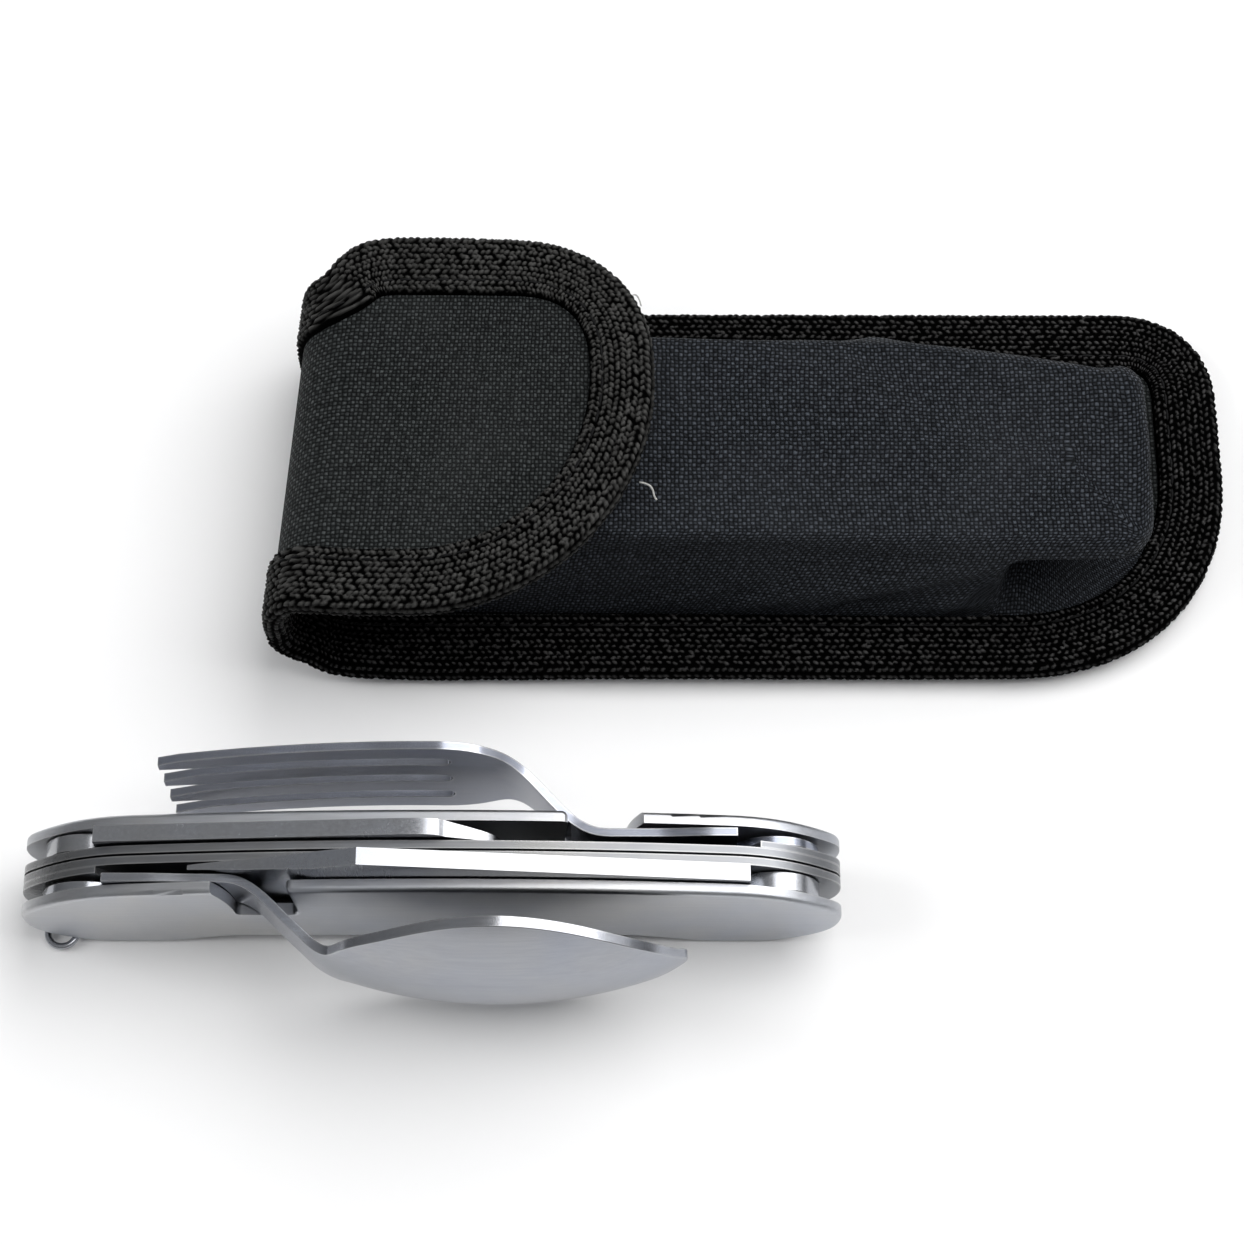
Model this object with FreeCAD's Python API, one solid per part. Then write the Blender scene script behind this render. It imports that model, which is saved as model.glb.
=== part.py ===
import FreeCAD, Part

import math
import os

# Folding picnic cutlery that splits into two halves, and its nylon belt pouch.
# The pouch lies on its back with its long side along X.  The folded tool stands on its
# back edge beside it.  The origin is the centre of the pouch's back face, on the table.
# +X runs along the handle, +Y points from the tool to the pouch, +Z points up.

Vector = FreeCAD.Vector
TINY = 0.01

# ---- Handle, in the tool's own frame: centre of the stack, back edge at z = 0 ----
TOOL_PLACE = Vector(-41.6, -59.1, 0.0)
HANDLE_LENGTH = 105.5
HANDLE_HEIGHT = 20.9
HALF_LENGTH = HANDLE_LENGTH / 2
SHOULDER_HEIGHT = 18.9
SHOULDER_X = 38.0
END_MIDDLE_Z = 9.0
END_CURVE = ((46.5, 16.2), (51.2, 12.6))
END_CHEEK = (49.25, 2.65)
LOWER_CORNER_LENGTH = 12.0
WAIST_RISE = 2.4
WAIST_HALF = 24.0
WAIST_FOOT_X = 37.0

# ---- Layers of one half, measured from the joint plane between the two halves ----
HALF_GAP = 0.15
LINER_THICKNESS = 1.1
CHANNEL = 2.65
SCALE_THICKNESS = 1.6
LINER_Y = -HALF_GAP
CHANNEL_Y = LINER_Y - LINER_THICKNESS
SCALE_Y = CHANNEL_Y - CHANNEL
OUTER_Y = SCALE_Y - SCALE_THICKNESS
SCALE_EDGE_ROUND = 0.7

# ---- Pivots and springs ----
PIVOT_X = 44.0
PIVOT_Z = 10.5
PIVOT_RADIUS = 1.5
RUNNING_GAP = 0.05
RIVET_SINK = 0.8
TANG_TOP_Z = 19.6
TANG_ROUND = 5.9
TANG_HEEL = 3.5
TANG_CURVE = (-34.5, 8.6)
TANG_TOP_END_X = -35.0
SPRING_TOP_Z = 4.5
SPRING_SIDE_GAP = 0.03
STOP_GAP = 0.1
SPRING_BOSS_TOP_Z = 6.4
SPRING_BOSS_X = 9.0
SPRING_RAMP_X = 15.0
SPRING_RIVET_RADIUS = 1.1
SPRING_RIVET_X = (-5.0, 5.0)
SPRING_RIVET_Z = 4.4

# ---- Spoon and fork, pressed from sheet ----
SHEET = 1.15
SHEET_LEFT_X = -51.5
SHEET_COLUMNS = 64
NECK_Z = 15.5
NECK_HALF_WIDTH = 3.75
NECK_START_X = -29.0
NOTCH_FLOOR_Z = 11.3
NOTCH_ARC_RADIUS = 19.15
NOTCH_FAR_X = -17.0
NOTCH_LEAN = 0.8
NOTCH_CORNER_ROUND = 0.8
SPOON_TANG_Y = -3.2
SPOON_CORNER_X = -41.1
BOWL_PLANE_Y = -12.0
BOWL_DEPTH = 5.2
BOWL_MIDDLE_X = 8.5
BOWL_HALF_LENGTH = 24.1
BOWL_HALF_WIDTH = 14.0
BOWL_FULLNESS = 0.8
BOWL_START_X = -12.6
BOWL_OUTLINE_STEPS = 9
SPOON_BEND = (-26.7, 16.0)
FORK_TANG_Y = -2.85
FORK_CORNER_X = -39.2
FORK_PLANE_Y = -12.2
FORK_TIP_X = 34.0
FORK_HALF_WIDTH = 10.2
TINE_COUNT = 4
TINE_SLOT = 2.4
TINE_ROOT_X = -1.5
TINE_POINT_LENGTH = 5.0
FORK_BEND = (-23.5, 16.0)
FORK_SWEEP = 1.9
FORK_SWEEP_MIDDLE_X = 2.0
SPACER_THICKNESS = 0.9
SPACER_CUT_X = -42.1
SPACER_STEP_Z = 17.6
SPACER_END_X = -36.0
SPACER_LOW_Z = 4.7

# ---- Knife and opener ----
KNIFE_THICKNESS = 2.3
KNIFE_CORNER_X = 40.7
KNIFE_TIP = (-30.4, 19.0)
KNIFE_CLIP = (-8.5, 25.8)
KNIFE_EDGE_Z = 6.6
KNIFE_GRIND_Z = 18.2
BLADE_TOP_Z = 27.0
KNIFE_RICASSO_X = 32.0
KNIFE_BELLY_X = -12.0
KNIFE_BELLY_POINT = (-23.5, 10.8)
KNIFE_EDGE_THICKNESS = 0.24
KNIFE_TIP_THICKNESS = 0.55
KNIFE_TAPER_X = -14.0
KNIFE_GRIND_END_X = 30.0
OPENER_THICKNESS = 2.2
OPENER_CORNER_X = 42.5
OPENER_TIP = (-9.2, 17.0)
OPENER_NOSE = ((-7.9, 19.4), (-2.4, 21.4))
OPENER_SPINE_END = (5.5, 22.2)
OPENER_EDGE_Z = 7.4
OPENER_HOOK = ((10.0, 7.4), (7.0, 8.4), (5.6, 10.6))
OPENER_HOLLOW = ((1.2, 14.2), (-3.4, 11.2))
OPENER_BEAK = ((-4.8, 7.6), (-8.2, 10.6))
OPENER_TAPER_X = -2.0
OPENER_TIP_THICKNESS = 0.7
BLADE_Y = CHANNEL_Y - CHANNEL / 2

# ---- Studs and keyholes that hold the two halves together ----
STUD_X = (-24.0, 24.0)
STUD_Z = 10.5
STUD_RADIUS = 1.4
STUD_HEAD_RADIUS = 2.3
STUD_HEAD = 0.45
KEYHOLE_STEP = 0.5
KEYHOLE_TRAVEL = 8.0
KEYHOLE_GAP = 0.08

# ---- Lanyard loop under the left end ----
LOOP_WIRE = 0.45
LOOP_X = -49.0
LOOP_RADIUS = 1.9
LOOP_Z = 0.6
LOOP_BEND_Y = -4.4
EAR_MARGIN = 0.6
EAR_ROUND = 0.5

# ---- Pouch ----
POUCH_LEFT = -63.5
POUCH_RIGHT = 66.35
POUCH_HALF_WIDTH = 27.75
FOLD_NEAR = 26.5
FOLD_FAR = 21.8
BASE_BOTTOM_Z = 1.4
BASE_TOP_Z = 3.4
TAPE_WIDTH = 8.5
TAPE_WRAP = 0.6
TAPE_BUILD = 0.4
CORNER_FAR = 14.0
CORNER_NEAR = 27.0
FOLD_CORNER = 6.5
POCKET_WALL = 1.2
POCKET_MOUTH_X = -58.0
POCKET_END_X = 57.2
POCKET_END_TOP_X = 53.2
POCKET_HALF_WIDTH = 18.6
POCKET_TOP_HALF_WIDTH = 15.5
POCKET_TOP_Z = 20.5
POCKET_CORNER_FAR = 10.0
POCKET_CORNER_NEAR = 19.0
POCKET_CORNER_TOP = 5.0
POCKET_EDGE_ROUND = 2.5
HEM_WIDTH = 2.0
HEM_BUILD = 0.4
PATCH_X = (-47.5, -25.5)
PATCH_HALF_WIDTH = 10.0
LOOP_PATCH_THICKNESS = 1.2
PATCH_GAP = 0.15
HOOK_PATCH_THICKNESS = 1.0
FLAP_THICKNESS = 1.7
FLAP_END_X = -13.0
FLAP_CORNER_NEAR = 28.0
FLAP_CORNER_FAR = 18.0
FOLD_X = -64.6
FOLD_THICKNESS = 2.0
FOLD_LOW_AXIS_Z = (BASE_BOTTOM_Z + BASE_TOP_Z) / 2
FOLD_CLEAR = 1.15
FOLD_TAPE_CLEAR = 1.55
FLAP_LEFT = POUCH_LEFT + 0.1
BELT_LOOP_HALF_LENGTH = 35.0
BELT_LOOP_SEWN = 6.0
BELT_LOOP_HALF_WIDTH = 17.5
BELT_LOOP_THICKNESS = 1.1

LOOP_PATCH_TOP_Z = POCKET_TOP_Z + LOOP_PATCH_THICKNESS
HOOK_PATCH_Z = LOOP_PATCH_TOP_Z + PATCH_GAP
FLAP_BOTTOM_Z = HOOK_PATCH_Z + HOOK_PATCH_THICKNESS
FLAP_TOP_Z = FLAP_BOTTOM_Z + FLAP_THICKNESS
FOLD_HIGH_AXIS_Z = (FLAP_BOTTOM_Z + FLAP_TOP_Z) / 2


# ---- Small helpers ----
def xz(x, z):
    return Vector(x, 0, z)


def line(a, b):
    return Part.makeLine(a, b)


def arc(a, middle, b):
    return Part.Arc(a, middle, b).toShape()


def spline(points, start=None, end=None):
    curve = Part.BSplineCurve()
    if start and end:
        curve.interpolate(Points=points, InitialTangent=start, FinalTangent=end)
    else:
        curve.interpolate(points)
    return curve.toShape()


def face_of(edges):
    return Part.Face(Part.Wire(edges))


def plate(face, y_low, y_high):
    """A sheet cut to a face drawn in the XZ plane, between two values of y."""
    moved = face.copy()
    moved.translate(Vector(0, y_low, 0))
    return moved.extrude(Vector(0, y_high - y_low, 0))


def slab(face, z_low, z_high):
    """A sheet cut to a face drawn in the XY plane, between two heights."""
    moved = face.copy()
    moved.translate(Vector(0, 0, z_low))
    return moved.extrude(Vector(0, 0, z_high - z_low))


def box(low, high):
    size = high - low
    return Part.makeBox(size.x, size.y, size.z, low)


def pin(radius, x, z, y_low, y_high):
    return Part.makeCylinder(radius, y_high - y_low, Vector(x, y_low, z), Vector(0, 1, 0))


def ease(t):
    """Goes smoothly from 0 to 1 with level ends."""
    t = min(max(t, 0.0), 1.0)
    return t * t * t * (10 - 15 * t + 6 * t * t)


# ---- Handle plates ----
def handle_face():
    """The side outline that scales, liners and springs share."""
    shoulder = xz(SHOULDER_X, SHOULDER_HEIGHT)
    nose = xz(HALF_LENGTH, END_MIDDLE_Z)
    heel = xz(HALF_LENGTH - LOWER_CORNER_LENGTH, 0)
    slope = Vector(1, 0, -2 * (HANDLE_HEIGHT - SHOULDER_HEIGHT) / SHOULDER_X)
    foot = xz(WAIST_FOOT_X, 0)
    waist = xz(WAIST_HALF, WAIST_RISE)
    right = [
        spline([shoulder, xz(*END_CURVE[0]), xz(*END_CURVE[1]), nose], slope, Vector(0, 0, -1)),
        spline([nose, xz(*END_CHEEK), heel], Vector(0, 0, -1), Vector(-1, 0, 0)),
        line(heel, foot),
        spline([foot, waist], Vector(-1, 0, 0), Vector(-1, 0, 0)),
    ]
    mirror = [edge.mirror(Vector(0, 0, 0), Vector(1, 0, 0)) for edge in right]
    top = arc(xz(-SHOULDER_X, SHOULDER_HEIGHT), xz(0, HANDLE_HEIGHT), shoulder)
    bottom = line(waist, xz(-WAIST_HALF, WAIST_RISE))
    wire = Part.Wire(Part.__sortEdges__([top, bottom] + right + mirror))
    return Part.Face(wire)


def make_scale():
    """Outer plate with a notch in its top edge for the neck of the spoon or fork."""
    body = plate(handle_face(), OUTER_Y, SCALE_Y)
    outer_edges = [e for e in body.Edges if e.BoundBox.YMax < OUTER_Y + TINY]
    body = body.makeFillet(SCALE_EDGE_ROUND, outer_edges)
    top_z = HANDLE_HEIGHT + 1
    low_x = -PIVOT_X + math.sqrt(NOTCH_ARC_RADIUS**2 - (NOTCH_FLOOR_Z - PIVOT_Z) ** 2)
    top_x = -PIVOT_X + math.sqrt(NOTCH_ARC_RADIUS**2 - (top_z - PIVOT_Z) ** 2)
    middle_z = (top_z + NOTCH_FLOOR_Z) / 2
    middle_x = -PIVOT_X + math.sqrt(NOTCH_ARC_RADIUS**2 - (middle_z - PIVOT_Z) ** 2)
    notch = face_of([
        line(xz(low_x, NOTCH_FLOOR_Z), xz(NOTCH_FAR_X, NOTCH_FLOOR_Z)),
        line(xz(NOTCH_FAR_X, NOTCH_FLOOR_Z), xz(NOTCH_FAR_X - NOTCH_LEAN, top_z)),
        line(xz(NOTCH_FAR_X - NOTCH_LEAN, top_z), xz(top_x, top_z)),
        arc(xz(top_x, top_z), xz(middle_x, middle_z), xz(low_x, NOTCH_FLOOR_Z)),
    ])
    body = body.cut(plate(notch, OUTER_Y - 1, SCALE_Y + 1))
    notch_floor_corners = []
    for edge in body.Edges:
        bound = edge.BoundBox
        along_y = bound.XLength < TINY and bound.ZLength < TINY and bound.YLength > SCALE_EDGE_ROUND
        at_notch = low_x - 1 < bound.XMin < NOTCH_FAR_X + 1 and bound.ZMin > NOTCH_FLOOR_Z - TINY
        if along_y and at_notch:
            notch_floor_corners.append(edge)
    body = body.makeFillet(NOTCH_CORNER_ROUND, notch_floor_corners)
    for x in (-PIVOT_X, PIVOT_X):
        body = body.cut(pin(PIVOT_RADIUS, x, PIVOT_Z, SCALE_Y - RIVET_SINK, SCALE_Y + 1))
    for x in SPRING_RIVET_X:
        body = body.cut(pin(SPRING_RIVET_RADIUS, x, SPRING_RIVET_Z, SCALE_Y - RIVET_SINK, SCALE_Y + 1))
    return body


def make_liner():
    """Inner plate, with holes for the pivot and spring rivets."""
    body = plate(handle_face(), CHANNEL_Y, LINER_Y)
    for x in (-PIVOT_X, PIVOT_X):
        body = body.cut(pin(PIVOT_RADIUS, x, PIVOT_Z, CHANNEL_Y - 1, LINER_Y + 1))
    for x in SPRING_RIVET_X:
        body = body.cut(pin(SPRING_RIVET_RADIUS, x, SPRING_RIVET_Z, CHANNEL_Y - 1, LINER_Y + 1))
    return body


def add_loop_ear(liner):
    """A small ear under the liner's left end that holds the two legs of the lanyard loop."""
    reach = LOOP_RADIUS + LOOP_WIRE + EAR_MARGIN
    ear = box(Vector(LOOP_X - reach, CHANNEL_Y, 0), Vector(LOOP_X + reach, LINER_Y, PIVOT_Z / 2))
    lower_edges = [e for e in ear.Edges if e.BoundBox.ZMax < TINY and e.BoundBox.XLength < TINY]
    ear = ear.makeFillet(EAR_ROUND, lower_edges)
    keep = box(Vector(-HALF_LENGTH, CHANNEL_Y, 0), Vector(0, LINER_Y, HANDLE_HEIGHT))
    liner = liner.fuse(ear.common(keep)).removeSplitter()
    for x in (LOOP_X - LOOP_RADIUS, LOOP_X + LOOP_RADIUS):
        liner = liner.cut(pin(LOOP_WIRE, x, LOOP_Z, CHANNEL_Y - 1, LINER_Y + 1))
    return liner


def add_stud_holes(liner):
    for x in STUD_X:
        liner = liner.cut(pin(STUD_RADIUS, x, STUD_Z, CHANNEL_Y - 1, LINER_Y + 1))
    return liner


def slot_solid(radius, x_from, x_to, y_low, y_high):
    low = box(Vector(x_from, y_low, STUD_Z - radius), Vector(x_to, y_high, STUD_Z + radius))
    ends = pin(radius, x_from, STUD_Z, y_low, y_high).fuse(pin(radius, x_to, STUD_Z, y_low, y_high))
    return low.fuse(ends)


def add_keyholes(liner):
    """Stepped slots: narrow beside the joint plane, wide behind it, open at one end."""
    head_hole = STUD_HEAD_RADIUS + KEYHOLE_GAP
    for stud in STUD_X:
        x = -stud
        entry = x + KEYHOLE_TRAVEL
        step_y = LINER_Y - KEYHOLE_STEP
        liner = liner.cut(slot_solid(STUD_RADIUS + KEYHOLE_GAP, x, entry, step_y - 0.1, LINER_Y + 1))
        liner = liner.cut(slot_solid(head_hole, x, entry, CHANNEL_Y - 1, step_y))
        liner = liner.cut(pin(head_hole, entry, STUD_Z, CHANNEL_Y - 1, LINER_Y + 1))
    return liner


def make_spacer():
    """Thin leaf that fills the channel beside the spoon's or fork's tang."""
    keep = face_of([
        line(xz(-HALF_LENGTH, SPACER_LOW_Z), xz(-HALF_LENGTH, HANDLE_HEIGHT)),
        line(xz(-HALF_LENGTH, HANDLE_HEIGHT), xz(SPACER_CUT_X, HANDLE_HEIGHT)),
        line(xz(SPACER_CUT_X, HANDLE_HEIGHT), xz(SPACER_CUT_X, SPACER_STEP_Z)),
        line(xz(SPACER_CUT_X, SPACER_STEP_Z), xz(SPACER_END_X, PIVOT_Z)),
        line(xz(SPACER_END_X, PIVOT_Z), xz(SPACER_END_X, SPACER_LOW_Z)),
        line(xz(SPACER_END_X, SPACER_LOW_Z), xz(-HALF_LENGTH, SPACER_LOW_Z)),
    ])
    y_low = CHANNEL_Y - SPACER_THICKNESS
    body = plate(handle_face(), y_low, CHANNEL_Y).common(plate(keep, y_low, CHANNEL_Y))
    return body.cut(pin(PIVOT_RADIUS, -PIVOT_X, PIVOT_Z, y_low - 1, CHANNEL_Y + 1))


def make_spring(left_corner_x, right_corner_x):
    """Back spring: two thin arms from a riveted middle, each end bearing on one tang."""
    left_end = -2 * PIVOT_X - left_corner_x + STOP_GAP
    right_end = 2 * PIVOT_X - right_corner_x - STOP_GAP
    top = [
        xz(left_end, SPRING_TOP_Z), xz(-SPRING_RAMP_X, SPRING_TOP_Z),
        xz(-SPRING_BOSS_X, SPRING_BOSS_TOP_Z), xz(SPRING_BOSS_X, SPRING_BOSS_TOP_Z),
        xz(SPRING_RAMP_X, SPRING_TOP_Z), xz(right_end, SPRING_TOP_Z),
    ]
    points = top + [xz(right_end, -1), xz(left_end, -1), top[0]]
    keep = Part.Face(Part.makePolygon(points))
    y_low = SCALE_Y + SPRING_SIDE_GAP
    y_high = CHANNEL_Y - SPRING_SIDE_GAP
    body = plate(handle_face(), y_low, y_high).common(plate(keep, y_low, y_high))
    for x in SPRING_RIVET_X:
        body = body.cut(pin(SPRING_RIVET_RADIUS, x, SPRING_RIVET_Z, y_low - 1, y_high + 1))
    return body


def make_pivot_rivet(x):
    """Rivet let into the scale from inside and ground flush with the liner."""
    return pin(PIVOT_RADIUS, x, PIVOT_Z, SCALE_Y - RIVET_SINK, LINER_Y)


def make_spring_rivets():
    rivets = [
        pin(SPRING_RIVET_RADIUS, x, SPRING_RIVET_Z, SCALE_Y - RIVET_SINK, LINER_Y)
        for x in SPRING_RIVET_X
    ]
    return Part.makeCompound(rivets)


# ---- Tangs: the round foot of every blade that turns on a pivot ----
def tang_hole(x):
    return pin(PIVOT_RADIUS + RUNNING_GAP, x, PIVOT_Z, -30, 1)


def tang_circle_point(pivot_x, x, sign):
    rise = math.sqrt(TANG_ROUND**2 - (x - pivot_x) ** 2)
    return xz(x, PIVOT_Z + sign * rise)


# ---- Knife and opener ----
def tang_edges(corner_x, lower_start):
    """From the spine's corner, down, round the pivot and back to the blade's lower edge."""
    corner = xz(corner_x, TANG_TOP_Z)
    step = tang_circle_point(PIVOT_X, corner_x, 1)
    bottom = xz(PIVOT_X, PIVOT_Z - TANG_ROUND)
    return [
        line(corner, step),
        arc(step, xz(PIVOT_X + TANG_ROUND, PIVOT_Z), bottom),
        line(bottom, xz(PIVOT_X - TANG_HEEL, bottom.z)),
        line(xz(PIVOT_X - TANG_HEEL, bottom.z), lower_start),
    ]


def end_taper(start_x, end_x, half, end_thickness):
    """Wedge to cut from a blade's outer side, so that the blade thins towards its tip."""
    side_y = BLADE_Y - half - TINY
    wedge = Part.Face(Part.makePolygon([
        Vector(start_x, side_y, 0),
        Vector(end_x, side_y, 0),
        Vector(end_x, BLADE_Y + half - end_thickness, 0),
        Vector(start_x, side_y, 0),
    ]))
    return wedge.extrude(Vector(0, 0, BLADE_TOP_Z))


def make_knife():
    """Clip-point blade, flat ground from just under the spine to the edge."""
    tip = xz(*KNIFE_TIP)
    heel = xz(KNIFE_RICASSO_X, KNIFE_EDGE_Z)
    belly = xz(KNIFE_BELLY_X, KNIFE_EDGE_Z)
    clip = xz(*KNIFE_CLIP)
    edges = tang_edges(KNIFE_CORNER_X, heel)
    edges += [
        line(heel, belly),
        spline([belly, xz(*KNIFE_BELLY_POINT), tip], Vector(-1, 0, 0), Vector(-0.62, 0, 0.78)),
        line(tip, clip),
        line(clip, xz(KNIFE_CORNER_X, TANG_TOP_Z)),
    ]
    half = KNIFE_THICKNESS / 2
    body = plate(face_of(edges), BLADE_Y - half, BLADE_Y + half)
    start_x = KNIFE_TIP[0] - 1
    low_z = KNIFE_EDGE_Z - 0.5
    for side in (-1, 1):
        outer_y = BLADE_Y + side * (half + 1)
        wedge = Part.Face(Part.makePolygon([
            Vector(start_x, BLADE_Y + side * half, KNIFE_GRIND_Z),
            Vector(start_x, outer_y, KNIFE_GRIND_Z),
            Vector(start_x, outer_y, low_z),
            Vector(start_x, BLADE_Y + side * KNIFE_EDGE_THICKNESS / 2, low_z),
            Vector(start_x, BLADE_Y + side * half, KNIFE_GRIND_Z),
        ]))
        body = body.cut(wedge.extrude(Vector(KNIFE_GRIND_END_X - start_x, 0, 0)))
    body = body.cut(end_taper(KNIFE_TAPER_X, start_x, half, KNIFE_TIP_THICKNESS))
    return body.cut(tang_hole(PIVOT_X))


def make_opener():
    """Can opener beak at the tip and a bottle opener hook in the lower edge."""
    spine_end = xz(*OPENER_SPINE_END)
    corner = xz(OPENER_CORNER_X, TANG_TOP_Z)
    along_spine = (corner - spine_end).normalize()
    lower = xz(KNIFE_RICASSO_X, OPENER_EDGE_Z)
    hook = [xz(*point) for point in OPENER_HOOK]
    hollow_top, hollow_end = [xz(*point) for point in OPENER_HOLLOW]
    beak, beak_curve = [xz(*point) for point in OPENER_BEAK]
    tip = xz(*OPENER_TIP)
    edges = tang_edges(OPENER_CORNER_X, lower)
    edges += [
        line(lower, hook[0]),
        spline(hook),
        arc(hook[-1], hollow_top, hollow_end),
        line(hollow_end, beak),
        spline([beak, beak_curve, tip]),
        spline([tip, *[xz(*point) for point in OPENER_NOSE], spine_end], Vector(0, 0, 1), along_spine),
        line(spine_end, corner),
    ]
    half = OPENER_THICKNESS / 2
    body = plate(face_of(edges), BLADE_Y - half, BLADE_Y + half)
    body = body.cut(end_taper(OPENER_TAPER_X, OPENER_TIP[0] - 1, half, OPENER_TIP_THICKNESS))
    return body.cut(tang_hole(PIVOT_X))


# ---- Spoon and fork: one curved sheet each, cut to an outline ----
def curved_sheet(height_at, columns, rows):
    """Solid of sheet thickness around the surface y = height_at(x, z)."""
    x_low = SHEET_LEFT_X
    x_high = FORK_TIP_X + 1.5
    z_low = NECK_Z - BOWL_HALF_WIDTH - 1.2
    z_high = NECK_Z + BOWL_HALF_WIDTH + 1.2
    skins = []
    for side in (-1, 1):
        grid = []
        for i in range(columns):
            x = x_low + (x_high - x_low) * i / (columns - 1)
            column = []
            for j in range(rows):
                z = z_low + (z_high - z_low) * j / (rows - 1)
                slope_x = (height_at(x + TINY, z) - height_at(x - TINY, z)) / (2 * TINY)
                slope_z = (height_at(x, z + TINY) - height_at(x, z - TINY)) / (2 * TINY)
                normal = Vector(-slope_x, 1, -slope_z)
                normal.normalize()
                point = Vector(x, height_at(x, z), z) + normal * (side * SHEET / 2)
                column.append(point)
            grid.append(column)
        surface = Part.BSplineSurface()
        surface.interpolate(grid)
        skins.append(surface.toShape())
    faces = list(skins)
    for near, far in zip(skins[0].Edges, skins[1].Edges):
        faces.append(Part.makeRuledSurface(near, far))
    shell = Part.makeCompound(faces)
    shell.sewShape()
    solid = Part.Solid(shell.Shells[0])
    if solid.Volume < 0:
        solid.reverse()
    return solid


def eater_tang_edges(corner_x):
    """Tang of the spoon or fork, from the neck's lower edge round the pivot to its top."""
    neck_low = xz(NECK_START_X, NECK_Z - NECK_HALF_WIDTH)
    neck_top = xz(NECK_START_X, NECK_Z + NECK_HALF_WIDTH)
    corner = xz(corner_x, TANG_TOP_Z)
    step = tang_circle_point(-PIVOT_X, corner_x, 1)
    bottom = xz(-PIVOT_X, PIVOT_Z - TANG_ROUND)
    low = xz(-PIVOT_X + TANG_HEEL, bottom.z)
    return [
        spline([neck_low, xz(*TANG_CURVE), low], Vector(-1, 0, -0.35), Vector(-1, 0, -0.15)),
        line(low, bottom),
        arc(bottom, xz(-PIVOT_X - TANG_ROUND, PIVOT_Z), step),
        line(step, corner),
        spline([corner, xz(TANG_TOP_END_X, TANG_TOP_Z), neck_top], Vector(1, 0, 0), Vector(1, 0, 0)),
    ]


def bowl_half_width(x):
    along = (x - BOWL_MIDDLE_X) / BOWL_HALF_LENGTH
    return BOWL_HALF_WIDTH * max(1 - along * along, 0.0) ** BOWL_FULLNESS


def spoon_height(x, z):
    """Flat tang, a bend out through the scale's notch, then a bowl dished both ways."""
    along = (x - BOWL_MIDDLE_X) / (BOWL_HALF_LENGTH + 0.5)
    across = (z - NECK_Z) / (BOWL_HALF_WIDTH + 0.3)
    floor_y = BOWL_PLANE_Y - BOWL_DEPTH * max(1 - along * along, 0.0)
    rise = BOWL_DEPTH * across * across * ease((x - NOTCH_FAR_X + 3.0) / 12.0)
    bend_start, bend_length = SPOON_BEND
    out = ease((x - bend_start) / bend_length)
    return SPOON_TANG_Y + (floor_y - SPOON_TANG_Y) * out + rise


def make_spoon():
    sheet = curved_sheet(spoon_height, SHEET_COLUMNS, 13)
    neck_top = NECK_Z + NECK_HALF_WIDTH
    end_x = BOWL_MIDDLE_X + BOWL_HALF_LENGTH - 0.35
    upper = [xz(NECK_START_X, neck_top), xz(-22.0, neck_top), xz(-16.0, neck_top + 0.2)]
    for i in range(BOWL_OUTLINE_STEPS):
        turn = math.pi * (1 - i / (BOWL_OUTLINE_STEPS - 1.0))
        x = (BOWL_START_X + end_x) / 2 + (end_x - BOWL_START_X) / 2 * math.cos(turn)
        upper.append(xz(x, NECK_Z + max(bowl_half_width(x), 1.2)))
    lower = [xz(p.x, 2 * NECK_Z - p.z) for p in upper]
    nose = xz(end_x + 0.5, NECK_Z)
    edges = eater_tang_edges(SPOON_CORNER_X)
    edges += [
        spline(upper, Vector(1, 0, 0), Vector(0.7, 0, -0.7)),
        arc(upper[-1], nose, lower[-1]),
        spline(list(reversed(lower)), Vector(-0.7, 0, -0.7), Vector(-1, 0, 0)),
    ]
    outline = plate(face_of(Part.__sortEdges__(edges)), -25, 0)
    body = sheet.common(outline)
    return body.cut(tang_hole(-PIVOT_X))


def fork_height(x, z):
    """Flat tang, a bend out through the scale's notch, then a gentle sweep to the tips."""
    along = (x - FORK_SWEEP_MIDDLE_X) / (FORK_TIP_X - FORK_SWEEP_MIDDLE_X)
    reach = FORK_PLANE_Y + FORK_SWEEP * along * along
    bend_start, bend_length = FORK_BEND
    out = ease((x - bend_start) / bend_length)
    return FORK_TANG_Y + (reach - FORK_TANG_Y) * out


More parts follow.
